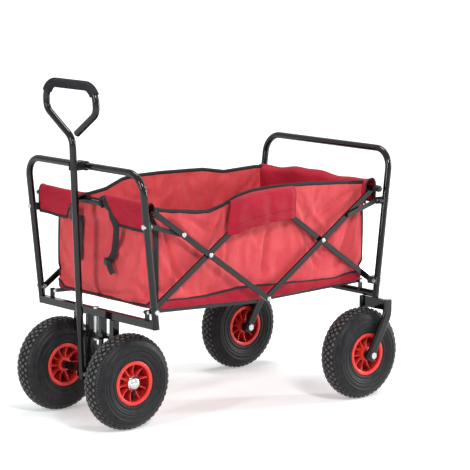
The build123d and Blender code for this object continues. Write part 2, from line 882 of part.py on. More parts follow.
bar_half = bar_thickness / 2
cross_z = low_joint_z + cross_share * bar_rise
front_cross_x = middle_x + cross_share * half_span
rear_cross_x = middle_x - cross_share * half_span
outer_face = outer_bar_y + bar_half
middle_outer_face = middle_bar_y + bar_half
middle_inner_face = middle_bar_y - bar_half
inner_face = inner_bar_y - bar_half

with BuildPart() as front_rivets:
    add(rivet(middle_x, low_joint_z, middle_inner_face, outer_face).part)
    add(rivet(front_cross_x, cross_z, middle_inner_face, outer_face).part)
    stub_low = tie_y + tie_thickness / 2 + running_gap
    add(cylinder_y(tie_pin_x, stub_low, outer_face, tie_pin_z, rivet_radius).part)
    add(cylinder_y(tie_pin_x, outer_face, outer_face + head_height, tie_pin_z, rivet_head).part)
save(pair(front_rivets), "front_bar_rivets")

rear_tie_y = outer_bar_y - bar_half + tie_thickness / 2
rear_tie_pin_x = rear_pin_x + (front_pin_x - tie_pin_x)
with BuildPart() as rear_rivets:
    add(rivet(rear_cross_x, cross_z, inner_face, middle_outer_face).part)
    stub_high = rear_tie_y - tie_thickness / 2 - running_gap
    add(cylinder_y(rear_tie_pin_x, middle_inner_face, stub_high, tie_pin_z, rivet_radius).part)
    add(
        cylinder_y(
            rear_tie_pin_x, middle_inner_face - head_height, middle_inner_face, tie_pin_z, rivet_head
        ).part
    )
save(pair(rear_rivets), "rear_bar_rivets")
save(pair(rivet(middle_x, top_joint_z, inner_face, middle_outer_face)), "top_joint_rivets")


def make_rod(x, bar_y, reach):
    """A cross rod that narrows where it passes through the two bars."""
    low, high = bar_y - bar_half - running_gap, bar_y + bar_half + running_gap
    with BuildPart() as rod:
        add(cylinder_y(x, -low, low, rod_z, rod_radius).part)
        for side in (-1, 1):
            neck = sorted((side * low, side * high))
            stub = sorted((side * high, side * reach))
            add(cylinder_y(x, neck[0], neck[1], rod_z, rivet_radius).part)
            add(cylinder_y(x, stub[0], stub[1], rod_z, rod_radius).part)
    return rod


save(make_rod(front_pin_x, outer_bar_y, front_rod_reach), "front_top_rod")
save(make_rod(rear_pin_x, middle_bar_y, rear_rod_reach), "rear_top_rod")


def make_tie(pivot, pin, y, head_side):
    """A flat link with a hole at the leg and its own rivet head at the bar."""
    run_x, run_z = pin[0] - pivot[0], pin[1] - pivot[1]
    length = sqrt(run_x**2 + run_z**2)
    plane = Plane(
        origin=(pivot[0], y, pivot[1]), x_dir=(run_x / length, 0, run_z / length), z_dir=(0, -1, 0)
    )
    with BuildPart() as tie:
        with BuildSketch(plane):
            with Locations((length / 2, 0)):
                SlotCenterToCenter(length, tie_width)
            Circle(rivet_hole, mode=Mode.SUBTRACT)
        extrude(amount=tie_thickness / 2, both=True)
        face = y + head_side * tie_thickness / 2
        head = sorted((face, face + head_side * head_height))
        add(cylinder_y(pin[0], head[0], head[1], pin[1], small_head).part)
    return tie


rear_tie_pivot_x = rear_pin_x - tie_inset
front_tie = make_tie((tie_pivot_x, tie_pivot_z), (tie_pin_x, tie_pin_z), tie_y, -1)
rear_tie = make_tie((rear_tie_pivot_x, tie_pivot_z), (rear_tie_pin_x, tie_pin_z), rear_tie_y, 1)
save(pair(front_tie), "front_ties")
save(pair(rear_tie), "rear_ties")

# ---------------------------------------------------------------- floor rails
def make_rail(pivot_x, y, head_side):
    """Half of a floor rail, from its tab to the middle hinge."""
    run_x, run_z = middle_x - pivot_x, -rail_sag
    plane = Plane(
        origin=(pivot_x, y, rail_pivot_z),
        x_dir=(run_x / rail_length, 0, run_z / rail_length),
        z_dir=(0, -1, 0),
    )
    with BuildPart() as rail:
        with BuildSketch(plane):
            with Locations((rail_length / 2, 0)):
                SlotCenterToCenter(rail_length, rail_height)
            Circle(rivet_hole, mode=Mode.SUBTRACT)
        extrude(amount=rail_thickness / 2, both=True)
        face = y + head_side * rail_thickness / 2
        head = sorted((face, face + head_side * head_height))
        add(cylinder_y(middle_x, head[0], head[1], rail_pivot_z - rail_sag, rail_height / 2).part)
    return rail


rear_rail_y = front_rail_y - rail_pitch
save(pair(make_rail(rail_front_x, front_rail_y, 1)), "front_rails")
save(pair(make_rail(rail_rear_x, rear_rail_y, -1)), "rear_rails")

# ---------------------------------------------------------------- rear frame
rear_leg_length = (rear_top_z - rear_foot_z) / lean_cos
with BuildLine(rear_hoop_plane) as rear_hoop_line:
    FilletPolyline(
        (-rear_half_width, 0),
        (-rear_half_width, rear_leg_length),
        (rear_half_width, rear_leg_length),
        (rear_half_width, 0),
        radius=hoop_bend,
    )
rear_hoop_path = rear_hoop_line.wire()
rear_hoop_solid = swept_tube(rear_hoop_path, tube_radius)
rear_bolt_places = (
    (rear_leg_x(pivot_z), pivot_z),
    (rear_leg_x(tie_pivot_z), tie_pivot_z),
)
with BuildPart() as rear_hoop:
    add(swept_tube(rear_hoop_path, tube_radius, tube_wall).part)
    for bolt_x, bolt_z in rear_bolt_places:
        for side in (-1, 1):
            add(
                cylinder_x(
                    bolt_x - 2 * tube_radius,
                    bolt_x + 2 * tube_radius,
                    side * rear_half_width,
                    bolt_z,
                    rivet_radius,
                ).part,
                mode=Mode.SUBTRACT,
            )
save(rear_hoop, "rear_hoop")

rear_crossbar_solid = cylinder_y(
    rear_crossbar_x, -rear_half_width, rear_half_width, rear_crossbar_z, tube_radius
)
with BuildPart() as rear_crossbar_cut:
    add(rear_crossbar_solid.part)
    add(
        cylinder_y(
            rear_crossbar_x,
            -rear_half_width,
            rear_half_width,
            rear_crossbar_z,
            tube_radius - tube_wall,
        ).part,
        mode=Mode.SUBTRACT,
    )
    add(rear_hoop_solid.part, mode=Mode.SUBTRACT)
with BuildPart() as rear_crossbar:
    add(rear_crossbar_cut.part.solids().sort_by(SortBy.VOLUME)[-1])
save(rear_crossbar, "rear_crossbar")


def make_fork(centre_y):
    """Two flat-oval arms joined by a bridge under the leg, with bosses at the axle."""
    leg_x = rear_foot_x
    reach_x, reach_z = rear_axle_x - leg_x, tyre_radius - (rear_foot_z - fork_straight)
    reach = sqrt(reach_x**2 + reach_z**2)
    tail = (
        rear_axle_x + fork_tail * reach_x / reach,
        tyre_radius + fork_tail * reach_z / reach,
    )
    with BuildPart() as fork:
        for side in (-1, 1):
            arm_y = centre_y + side * fork_arm_offset
            with BuildLine(Plane(origin=(0, arm_y, 0), x_dir=(1, 0, 0), z_dir=(0, -1, 0))) as arm_line:
                FilletPolyline(
                    (leg_x, rear_foot_z),
                    (leg_x, rear_foot_z - fork_straight),
                    tail,
                    radius=fork_bend,
                )
            arm_path = arm_line.wire()
            with BuildSketch(
                Plane(origin=(leg_x, arm_y, rear_foot_z), x_dir=(1, 0, 0), z_dir=(0, 0, -1))
            ):
                SlotOverall(fork_arm_width, fork_arm_thickness)
                SlotOverall(
                    fork_arm_width - 2 * fork_wall,
                    fork_arm_thickness - 2 * fork_wall,
                    mode=Mode.SUBTRACT,
                )
            sweep(path=arm_path)
            inner_side = centre_y + side * (hub_length / 2 + hub_gap)
            boss = sorted((inner_side, arm_y - side * fork_arm_thickness / 2 + side * fork_wall))
            add(cylinder_y(rear_axle_x, boss[0], boss[1], tyre_radius, axle_radius + fork_boss_wall).part)
        half_gap = fork_arm_offset - fork_arm_thickness / 2 + 1
        add(
            block(
                (leg_x - fork_bridge_depth / 2, leg_x + fork_bridge_depth / 2),
                (centre_y - half_gap, centre_y + half_gap),
                (rear_foot_z - fork_bridge_height, rear_foot_z),
            ).part
        )
        add(
            cylinder_y(
                rear_axle_x,
                centre_y - 2 * fork_arm_offset,
                centre_y + 2 * fork_arm_offset,
                tyre_radius,
                axle_radius,
            ).part,
            mode=Mode.SUBTRACT,
        )
        add(rear_crossbar_solid.part, mode=Mode.SUBTRACT)
        add(rear_hoop_solid.part, mode=Mode.SUBTRACT)
    return fork


left_fork = make_fork(rear_track / 2)
save(left_fork, "rear_fork_left")
save(mirrored(left_fork), "rear_fork_right")

fork_reach = fork_arm_offset + fork_arm_thickness / 2
with BuildPart() as rear_axle_bolt:
    low, high = rear_track / 2 - fork_reach, rear_track / 2 + fork_reach
    add(cylinder_y(rear_axle_x, low - nut_height, high + nut_height, tyre_radius, axle_radius).part)
    for face_y, direction in ((low, -1), (high, 1)):
        with BuildSketch(
            Plane(origin=(rear_axle_x, face_y, tyre_radius), z_dir=(0, direction, 0))
        ):
            RegularPolygon(nut_radius, 6)
        extrude(amount=nut_height)
save(pair(rear_axle_bolt), "rear_axle_bolts")

rear_tab_y = (
    rear_rail_y + rail_thickness / 2 + running_gap,
    rear_rail_y + rail_thickness / 2 + running_gap + tab_thickness,
)
pin_lug_y = inner_bar_y + bar_half + running_gap
tie_lug_y = rear_tie_y + tie_thickness / 2 + running_gap
leg_plate_reach = rear_half_width + bracket_overhang


def rear_x_bolt(x, z):
    """A bolt through a rear leg along X, with its head behind the leg."""
    with BuildPart() as bolt:
        front_end = x + tube_radius + bracket_wall + bolt_head
        add(cylinder_x(x - tube_radius - bolt_head, x, rear_half_width, z, rivet_head).part)
        add(rear_hoop_solid.part, mode=Mode.SUBTRACT)
        add(cylinder_x(x - tube_radius - 1, front_end, rear_half_width, z, rivet_radius).part)
        add(cylinder_x(front_end - bolt_head, front_end, rear_half_width, z, small_head).part)
    return bolt


low_bolt = rear_x_bolt(*rear_bolt_places[0])
high_bolt = rear_x_bolt(*rear_bolt_places[1])
with BuildPart() as rear_brackets_left:
    low_x, low_z = rear_bolt_places[0]
    low_span = (pivot_z - bracket_height / 2, pivot_z + bracket_height / 2)
    plate_front = low_x + tube_radius + bracket_wall
    lug_y = (pin_lug_y, rear_half_width - tube_radius + lug_sink)
    add(block((low_x - lug_depth, plate_front), lug_y, low_span).part)
    add(block((low_x, plate_front), (pin_lug_y, leg_plate_reach), low_span).part)
    add(
        cylinder_y(rear_pin_x, pin_lug_y - 1, leg_plate_reach, pivot_z, rivet_radius).part,
        mode=Mode.SUBTRACT,
    )
    high_x, high_z = rear_bolt_places[1]
    high_span = (tie_pivot_z - bracket_height / 2, tie_pivot_z + bracket_height / 2)
    high_front = high_x + tube_radius + bracket_wall
    add(block((high_x, high_front), (tie_lug_y, leg_plate_reach), high_span).part)
    add(
        block(
            (high_x, rear_tie_pivot_x + tie_end), (tie_lug_y, tie_lug_y + bracket_wall), high_span
        ).part
    )
    add(
        cylinder_y(rear_tie_pivot_x, tie_lug_y - 1, tie_lug_y + 2 * bracket_wall, tie_pivot_z, rivet_radius).part,
        mode=Mode.SUBTRACT,
    )
    tab_x = (rail_rear_x - tab_width / 2, rail_rear_x + tab_width / 2)
    add(block(tab_x, rear_tab_y, (rear_crossbar_z, rail_pivot_z + tab_width / 2)).part)
    add(
        cylinder_y(rail_rear_x, rear_tab_y[0] - 1, rear_tab_y[1] + 1, rail_pivot_z, rivet_radius).part,
        mode=Mode.SUBTRACT,
    )
    add(rear_hoop_solid.part, mode=Mode.SUBTRACT)
    add(rear_crossbar_solid.part, mode=Mode.SUBTRACT)
    add(low_bolt.part, mode=Mode.SUBTRACT)
    add(high_bolt.part, mode=Mode.SUBTRACT)
save(pair(rear_brackets_left), "rear_brackets")

with BuildPart() as rear_bolts:
    add(low_bolt.part)
    add(high_bolt.part)
    add(
        cylinder_y(
            rear_pin_x, inner_face - head_height, pin_lug_y + lug_pin_depth, pivot_z, rivet_radius
        ).part
    )
    add(cylinder_y(rear_pin_x, inner_face - head_height, inner_face, pivot_z, rivet_head).part)
    add(
        rivet(
            rear_tie_pivot_x,
            tie_pivot_z,
            rear_tie_y - tie_thickness / 2,
            tie_lug_y + bracket_wall,
            pin_head,
        ).part
    )
    rail_pin_span = (rear_rail_y - rail_thickness / 2, rear_tab_y[1])
    add(rivet(rail_rear_x, rail_pivot_z, *rail_pin_span, pin_head).part)
save(pair(rear_bolts), "rear_frame_bolts")

# ---------------------------------------------------------------- fabric basket
side_top = [
    (basket_front_x, rod_z + edge_front_rise),
    (edge_dip_start_x, rod_z + edge_dip_start),
    (edge_dip_x, rod_z + edge_dip),
    (sleeve_centre_x + sleeve_half_length, rod_z + edge_sleeve_rise),
    (sleeve_centre_x - sleeve_half_length, rod_z + edge_peak_rise),
    (basket_rear_x, rod_z + edge_rear_rise),
]
with BuildPart() as side_panel:
    with BuildSketch(Plane.XZ.offset(-side_outer_y)):
        with BuildLine():
            Polyline(
                (basket_rear_x, basket_floor_z),
                (basket_front_x, basket_floor_z),
                *side_top,
                close=True,
            )
        make_face()
    extrude(amount=panel_thickness)
save(side_panel, "side_panel_left")
save(mirrored(side_panel), "side_panel_right")

inner_y = side_outer_y - panel_thickness - running_gap
with BuildPart() as floor_panel:
    add(
        block(
            (basket_rear_x, basket_front_x),
            (-inner_y, inner_y),
            (basket_floor_z, basket_floor_z + floor_thickness),
        ).part
    )
save(floor_panel, "floor_panel")

panel_back_x = basket_front_x + running_gap
with BuildPart() as front_panel:
    flap_low_z = rod_z - flap_drop
    add(
        block(
            (panel_back_x, panel_back_x + panel_thickness),
            (-side_outer_y, side_outer_y),
            (front_panel_low_z, rod_z),
        ).part
    )
    add(
        block(
            (panel_back_x, front_pin_x + flap_radius),
            (-flap_half_width, flap_half_width),
            (flap_low_z, rod_z),
        ).part
    )
    add(cylinder_y(front_pin_x, -flap_half_width, flap_half_width, rod_z, flap_radius).part)
    with BuildSketch(Plane.YZ.offset(panel_back_x + panel_thickness)):
        Polygon(
            (-flap_gap_top, rod_z + 2 * flap_radius),
            (flap_gap_top, rod_z + 2 * flap_radius),
            (flap_gap_top, rod_z),
            (flap_gap_bottom, flap_low_z - 1),
            (-flap_gap_bottom, flap_low_z - 1),
            (-flap_gap_top, rod_z),
            align=None,
        )
    extrude(amount=2 * flap_drop, mode=Mode.SUBTRACT)
    add(
        cylinder_y(
            front_pin_x, -front_rod_reach, front_rod_reach, rod_z, rod_radius + running_gap
        ).part,
        mode=Mode.SUBTRACT,
    )
    add(
        block(
            (panel_back_x + panel_thickness + flap_wall, front_pin_x + flap_radius - flap_wall),
            (-front_rod_reach, front_rod_reach),
            (flap_low_z + flap_wall, rod_z),
        ).part,
        mode=Mode.SUBTRACT,
    )
save(front_panel, "front_panel")

rear_panel_x = basket_rear_x - running_gap
with BuildPart() as rear_panel:
    add(
        block(
            (rear_panel_x - panel_thickness, rear_panel_x),
            (-side_outer_y, side_outer_y),
            (basket_floor_z, rod_z),
        ).part
    )
    add(cylinder_y(rear_pin_x, -side_outer_y, side_outer_y, rod_z, flap_radius).part)
    add(
        cylinder_y(
            rear_pin_x, -rear_rod_reach, rear_rod_reach, rod_z, rod_radius + running_gap
        ).part,
        mode=Mode.SUBTRACT,
    )
save(rear_panel, "rear_panel")

with BuildPart() as sleeve:
    with BuildSketch(Plane.YZ.offset(sleeve_centre_x - sleeve_half_length)):
        with BuildLine():
            Polyline(
                (side_outer_y + running_gap, sleeve_top_z - 2 * sleeve_thickness),
                (side_outer_y + running_gap, sleeve_top_z),
                (sleeve_outer_y - sleeve_thickness, sleeve_top_z),
                (sleeve_outer_y, sleeve_top_z - sleeve_thickness),
                (sleeve_outer_y, sleeve_low_z),
                (sleeve_outer_y - sleeve_thickness, sleeve_low_z),
                (sleeve_outer_y - sleeve_thickness, sleeve_top_z - sleeve_thickness),
                (side_outer_y + running_gap + sleeve_thickness, sleeve_top_z - sleeve_thickness),
                (side_outer_y + running_gap + sleeve_thickness, sleeve_top_z - 2 * sleeve_thickness),
                close=True,
            )
        make_face()
    extrude(amount=2 * sleeve_half_length)
save(sleeve, "sleeve_left")
save(mirrored(sleeve), "sleeve_right")
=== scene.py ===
import json
from math import cos, inf, pi, radians, sin

import bmesh
import bpy
import numpy as np
from mathutils import Matrix, Quaternion, Vector


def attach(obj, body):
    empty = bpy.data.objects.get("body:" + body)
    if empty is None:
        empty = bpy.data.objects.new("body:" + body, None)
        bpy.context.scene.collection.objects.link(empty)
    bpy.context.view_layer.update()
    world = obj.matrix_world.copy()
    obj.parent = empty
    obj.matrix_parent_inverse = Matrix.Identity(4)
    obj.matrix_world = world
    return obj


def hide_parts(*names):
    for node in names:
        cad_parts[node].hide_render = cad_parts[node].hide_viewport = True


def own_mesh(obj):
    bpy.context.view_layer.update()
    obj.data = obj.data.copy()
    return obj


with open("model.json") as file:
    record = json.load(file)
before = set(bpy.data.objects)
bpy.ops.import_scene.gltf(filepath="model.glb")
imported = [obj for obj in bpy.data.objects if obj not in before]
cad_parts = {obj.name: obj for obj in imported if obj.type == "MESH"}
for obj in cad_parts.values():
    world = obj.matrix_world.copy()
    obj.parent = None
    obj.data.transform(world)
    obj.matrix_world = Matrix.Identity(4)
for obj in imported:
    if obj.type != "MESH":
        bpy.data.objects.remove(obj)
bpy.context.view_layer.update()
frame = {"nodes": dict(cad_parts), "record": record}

# The looks of a folding beach cart.  X points forward to the pulling handle, Y to the left, Z up.
# Sizes are in millimetres and become metres where a mesh is made.
MM = 0.001

# ---------------------------------------------------------------- sizes shared with the solids
TYRE_RADIUS = 130.0
FRONT_AXLE_X = 372.0
REAR_AXLE_X = -372.0
FRONT_TRACK = 306.0
REAR_TRACK = 528.0
# rods and rivets lie along Y, at an (x, z)
FRONT_ROD = (358.44, 592.0)
REAR_ROD = (-439.07, 592.0)
LOW_JOINT = (-40.32, 320.0)
FRONT_CROSS = (166.39, 461.0)
REAR_CROSS = (-247.03, 461.0)
FRONT_TIE_PIN = (258.75, 524.0)


# ---------------------------------------------------------------- meshes
def link(obj):
    bpy.context.scene.collection.objects.link(obj)
    return obj


def mesh_object(name, points, faces=(), material=None, smooth=True, edges=()):
    """A mesh object from points in millimetres."""
    mesh = bpy.data.meshes.new(name)
    mesh.from_pydata([tuple(c * MM for c in p) for p in points], list(edges), list(faces))
    mesh.update()
    if smooth:
        mesh.shade_smooth()
    if material:
        mesh.materials.append(material)
    return link(bpy.data.objects.new(name, mesh))


def tidy_normals(obj, merge=0.0):
    """Merge doubles where asked and turn every face outwards."""
    work = bmesh.new()
    work.from_mesh(obj.data)
    if merge:
        bmesh.ops.remove_doubles(work, verts=work.verts, dist=merge * MM)
    bmesh.ops.recalc_face_normals(work, faces=work.faces)
    work.to_mesh(obj.data)
    work.free()
    obj.data.update()
    return obj


def plain_mesh(obj):
    """Leave what an object's modifiers make as its plain mesh."""
    depsgraph = bpy.context.evaluated_depsgraph_get()
    mesh = bpy.data.meshes.new_from_object(obj.evaluated_get(depsgraph))
    obj.modifiers.clear()
    obj.data = mesh
    return obj


def join(name, parts):
    """Several mesh objects as one."""
    work = bmesh.new()
    materials = []
    for part in parts:
        slots = []
        for material in part.data.materials:
            if material not in materials:
                materials.append(material)
            slots.append(materials.index(material))
        before = len(work.faces)
        work.from_mesh(part.data)
        work.faces.ensure_lookup_table()
        for face in work.faces[before:]:
            face.material_index = slots[face.material_index] if slots else 0
    mesh = bpy.data.meshes.new(name)
    work.to_mesh(mesh)
    work.free()
    for material in materials:
        mesh.materials.append(material)
    for part in parts:
        bpy.data.objects.remove(part)
    return link(bpy.data.objects.new(name, mesh))


def copy_of(obj, name):
    mesh = obj.data.copy()
    mesh.name = name
    return link(bpy.data.objects.new(name, mesh))


def moved(obj, offset):
    """Shift a mesh by millimetres."""
    obj.data.transform(Matrix.Translation(Vector(offset) * MM))
    obj.data.update()
    return obj


def mirrored(obj):
    """Turn a mesh into the one for the cart's other side."""
    obj.data.transform(Matrix.Diagonal((1, -1, 1, 1)))
    obj.data.flip_normals()
    return obj


def set_smooth(obj, angle=35.0):
    """Smooth shading with the sharp edges kept."""
    obj.data.shade_smooth()
    obj.data.set_sharp_from_angle(angle=radians(angle))
    return obj


def bevelled(obj, width, segments=2):
    bevel = obj.modifiers.new("bevel", "BEVEL")
    bevel.width = width * MM
    bevel.segments = segments
    bevel.limit_method = "ANGLE"
    return set_smooth(plain_mesh(obj))


def lathe(name, profile, material, segments, closed=True):
    """A profile of (distance along the axle, radius) turned about the Y axis."""
    points, faces = [], []
    count = len(profile)
    for step in range(segments):
        turn = 2 * pi * step / segments
        for along, radius in profile:
            points.append((radius * sin(turn), along, radius * cos(turn)))
        here, there = step * count, (step + 1) % segments * count
        for k in range(count if closed else count - 1):
            after = (k + 1) % count
            faces.append((here + k, there + k, there + after, here + after))
    return set_smooth(tidy_normals(mesh_object(name, points, faces, material), merge=0.001), 40)


def prism(outline, low, high, material):
    """A closed outline of (y, z) given a thickness along X."""
    points = [(depth, y, z) for depth in (low, high) for y, z in outline]
    count = len(outline)
    faces = [tuple(range(count)), tuple(range(2 * count - 1, count - 1, -1))]
    for k in range(count):
        after = (k + 1) % count
        faces.append((k, after, count + after, count + k))
    return tidy_normals(mesh_object("prism", points, faces, material, smooth=False))


def smoothstep(low, high, value):
    t = np.clip((value - low) / (high - low), 0, 1)
    return t * t * (3 - 2 * t)


def smooth_line(points, steps):
    """Points along a Catmull-Rom line through the given ones."""
    given = [np.array(p, float) for p in points]
    padded = [2 * given[0] - given[1], *given, 2 * given[-1] - given[-2]]
    line = []
    for k in range(1, len(padded) - 2):
        a, b, c, d = padded[k - 1 : k + 3]
        for step in range(steps):
            t = step / steps
            square = (2 * a - 5 * b + 4 * c - d) * t**2
            cube = (3 * b - a - 3 * c + d) * t**3
            line.append(0.5 * (2 * b + (c - a) * t + square + cube))
    line.append(given[-1])
    return line


# ---------------------------------------------------------------- node trees
class Nodes:
    """A node tree that grows node by node."""

    def __init__(self, tree):
        self.tree = tree

    def node(self, kind, settings=None, **wires):
        """A node with its settings; inputs are wired or set by name, or by number as n0, n1."""
        made = self.tree.nodes.new(kind)
        for key, value in (settings or {}).items():
            setattr(made, key, value)
        for key, value in wires.items():
            numbered = key[0] == "n" and key[1:].isdigit()
            target = made.inputs[int(key[1:]) if numbered else key.replace("_", " ")]
            if isinstance(value, bpy.types.NodeSocket):
                self.tree.links.new(value, target)
            else:
                target.default_value = value
        return made

    def out(self, kind, settings=None, **wires):
        """The first output of such a node."""
        return self.node(kind, settings, **wires).outputs[0]

    def math(self, operation, *values, clamp=False):
        wires = {f"n{k}": value for k, value in enumerate(values)}
        return self.out("ShaderNodeMath", {"operation": operation, "use_clamp": clamp}, **wires)

    def noise(self, place, scale, detail, **wires):
        return self.out("ShaderNodeTexNoise", Vector=place, Scale=scale, Detail=detail, **wires)


class Group(Nodes):
    """A node group with one result and named inputs."""

    def __init__(self, name, kind, result, inputs):
        super().__init__(bpy.data.node_groups.new(name, kind))
        self.start = self.node("NodeGroupInput")
        self.last = self.node("NodeGroupOutput")
        for way, sockets in (("OUTPUT", result), ("INPUT", inputs)):
            for label, sort in sockets.items():
                self.tree.interface.new_socket(
                    name=label, in_out=way, socket_type=f"NodeSocket{sort}"
                )

    def given(self, name):
        return self.start.outputs[name]

    def attribute(self, name, kind="FLOAT_VECTOR"):
        return self.out("GeometryNodeInputNamedAttribute", {"data_type": kind}, Name=name)

    def end(self, socket):
        self.tree.links.new(socket, self.last.inputs[0])
        return self.tree


def start_tree(name, *numbers, sort="Float"):
    """A Geometry Nodes group that takes a geometry, some numbers and a material."""
    inputs = {"Geometry": "Geometry", **dict.fromkeys(numbers, sort), "Material": "Material"}
    return Group(name, "GeometryNodeTree", {"Geometry": "Geometry"}, inputs)


def finish_tree(build, geometry):
    """End a tree in Realize Instances and Set Material."""
    real = build.out("GeometryNodeRealizeInstances", n0=geometry)
    material = build.given("Material")
    return build.end(build.out("GeometryNodeSetMaterial", n0=real, Material=material))


def run_tree(obj, tree, **values):
    """Run a Geometry Nodes tree on an object and leave the result as its plain mesh."""
    modifier = obj.modifiers.new(tree.name, "NODES")
    modifier.node_group = tree
    for item in tree.interface.items_tree:
        key = item.name.replace(" ", "_")
        if item.in_out == "INPUT" and key in values:
            modifier[item.identifier] = values[key]
    return plain_mesh(obj)


def with_vectors(obj, **attributes):
    """Give each point of a mesh its own vectors or numbers."""
    for name, values in attributes.items():
        flat = np.array(values, np.float32)
        kind, field = ("FLOAT_VECTOR", "vector") if flat.ndim == 2 else ("FLOAT", "value")
        obj.data.attributes.new(name, kind, "POINT").data.foreach_set(field, flat.ravel())
    return obj


def copies_on(build, points, piece, rotation, scale=(1, 1, 1)):
    return build.out(
        "GeometryNodeInstanceOnPoints",
        Points=points, Instance=piece, Rotation=rotation, Scale=scale,
    )


ALIGN = "FunctionNodeAlignRotationToVector"


def facing_outward(build):
    """A rotation whose Z follows a point's outward direction and whose X goes around."""
    stood = build.out(ALIGN, {"axis": "Z"}, Vector=build.attribute("outward"))
    around = build.attribute("around")
    return build.out(ALIGN, {"axis": "X", "pivot_axis": "Z"}, Rotation=stood, Vector=around)


def ring_tree():
    """Copies of a piece round the wheel's axle."""
    build = start_tree("ring_round_axle", "Count", sort="Int")
    spots = build.out("GeometryNodePoints", Count=build.given("Count"))
    share = build.math("DIVIDE", build.out("GeometryNodeInputIndex"), build.given("Count"))
    angles = build.out("ShaderNodeCombineXYZ", Y=build.math("MULTIPLY", share, 2 * pi))
    return finish_tree(build, copies_on(build, spots, build.given("Geometry"), angles))


def tread_tree():
    """Diamond blocks with their tops marked for a paler colour, worn and painted light, one on each
    point of the tyre's crown.
    """
    build = start_tree("tread_blocks", "Block Size", "Block Height", "Top Share")
    half = build.given("Block Size")
    block = build.node(
        "GeometryNodeMeshCone",
        {"fill_type": "NGON"},
        Vertices=4,
        Radius_Top=build.math("MULTIPLY", half, build.given("Top Share")),
        Radius_Bottom=half,
        Depth=build.given("Block Height"),
    )
    # mark the blocks' top faces, which take a paler colour: worn rubber and painted light
    worn_and_lit = build.out(
        "GeometryNodeStoreNamedAttribute",
        {"data_type": "FLOAT", "domain": "FACE"},
        Geometry=block.outputs["Mesh"],
        Name="worn_and_lit",
        Value=block.outputs["Top"],
    )
    size = build.attribute("size", "FLOAT")
    crown = build.given("Geometry")
    return finish_tree(build, copies_on(build, crown, worn_and_lit, facing_outward(build), size))


def dome_tree():
    """A domed rivet head on each point, facing the point's outward direction."""
    build = start_tree("rivet_heads", "Head Radius", "Dome Share")
    radius = build.given("Head Radius")
    ball = build.out("GeometryNodeMeshUVSphere", Segments=20, Rings=12, Radius=radius)
    flat = build.out("ShaderNodeCombineXYZ", X=1.0, Y=1.0, Z=build.given("Dome Share"))
    heads = copies_on(build, build.given("Geometry"), ball, facing_outward(build), flat)
    return finish_tree(build, build.out("GeometryNodeSetShadeSmooth", n0=heads))


def binding_tree():
    """A flat-oval strip of binding along a line."""
    build = start_tree("binding_strip", "Width", "Thickness")
    line = build.out("GeometryNodeMeshToCurve", n0=build.given("Geometry"))
    face = build.attribute("face")
    leaned = build.out("GeometryNodeSetCurveNormal", {"mode": "FREE"}, Curve=line, Normal=face)
    oval = build.out("GeometryNodeCurvePrimitiveCircle", Resolution=12, Radius=0.5)
    thick, wide = build.given("Thickness"), build.given("Width")
    size = build.out("ShaderNodeCombineXYZ", X=thick, Y=wide, Z=1.0)
    flat = build.out("GeometryNodeTransform", Geometry=oval, Scale=size)
    strip = build.out("GeometryNodeCurveToMesh", Curve=leaned, Profile_Curve=flat, Fill_Caps=True)
    return finish_tree(build, build.out("GeometryNodeSetShadeSmooth", n0=strip))


def stitch_tree():
    """Short threads one after another along a line."""
    build = start_tree("stitches", "Pitch", "Stitch Length", "Thread")
    line = build.out("GeometryNodeMeshToCurve", n0=build.given("Geometry"))
    pitch = build.given("Pitch")
    spots = build.node("GeometryNodeCurveToPoints", {"mode": "LENGTH"}, Curve=line, Length=pitch)
    size = {"Radius": build.given("Thread"), "Depth": build.given("Stitch Length")}
    thread = build.out("GeometryNodeMeshCylinder", Vertices=6, **size)
    along = build.out(ALIGN, {"axis": "Z"}, Vector=spots.outputs["Tangent"])
    return finish_tree(build, copies_on(build, spots.outputs["Points"], thread, along))


def start_group(name, result, *numbers):
    """A shader group that takes a place and some numbers."""
    inputs = {"Vector": "Vector", **dict.fromkeys(numbers, "Float")}
    return Group(name, "ShaderNodeTree", {result: "Float"}, inputs)


def mottle_group():
    """Soft cloudy variation, as a mask from 0 to 1."""
    build = start_group("mottle", "Mask", "Scale", "Contrast")
    noise = build.noise(build.given("Vector"), build.given("Scale"), 4.0)
    centred = build.math("SUBTRACT", noise, 0.5)
    return build.end(build.math("MULTIPLY_ADD", centred, build.given("Contrast"), 0.5, clamp=True))


def weave_group():
    """Threads over and under each other, from coordinates in metres along the cloth."""
    build = start_group("weave", "Height", "Threads")
    place, threads = build.given("Vector"), build.given("Threads")
    scaled = build.out("ShaderNodeVectorMath", {"operation": "SCALE"}, n0=place, Scale=threads)
    parts = build.node("ShaderNodeSeparateXYZ", n0=scaled).outputs
    waves = []
    for across, along in ((0, 1), (1, 0)):
        # one set of threads, rounded across them, rising and sinking along them
        rounded = build.math("SINE", build.math("MULTIPLY", parts[across], pi))
        lift = build.math("COSINE", build.math("MULTIPLY", parts[along], pi))
        waves.append(build.math("MULTIPLY", rounded, lift))
    return build.end(build.math("MAXIMUM", *waves))


def dust_group():
    """More dust towards the ground, broken up by noise."""
    build = start_group("dust", "Mask", "Top", "Amount")
    place = build.given("Vector")
    fall = build.out(
        "ShaderNodeMapRange",
        Value=build.node("ShaderNodeSeparateXYZ", n0=place).outputs[2],
        From_Min=build.given("Top"),
        From_Max=0.0,
        To_Min=0.0,
        To_Max=build.given("Amount"),
    )
    return build.end(build.math("MULTIPLY", fall, build.noise(place, 60.0, 6.0), clamp=True))


RING = ring_tree()
TREAD = tread_tree()
DOMES = dome_tree()
BINDING = binding_tree()
STITCHES = stitch_tree()
MOTTLE = mottle_group()
WEAVE = weave_group()
DUST = dust_group()


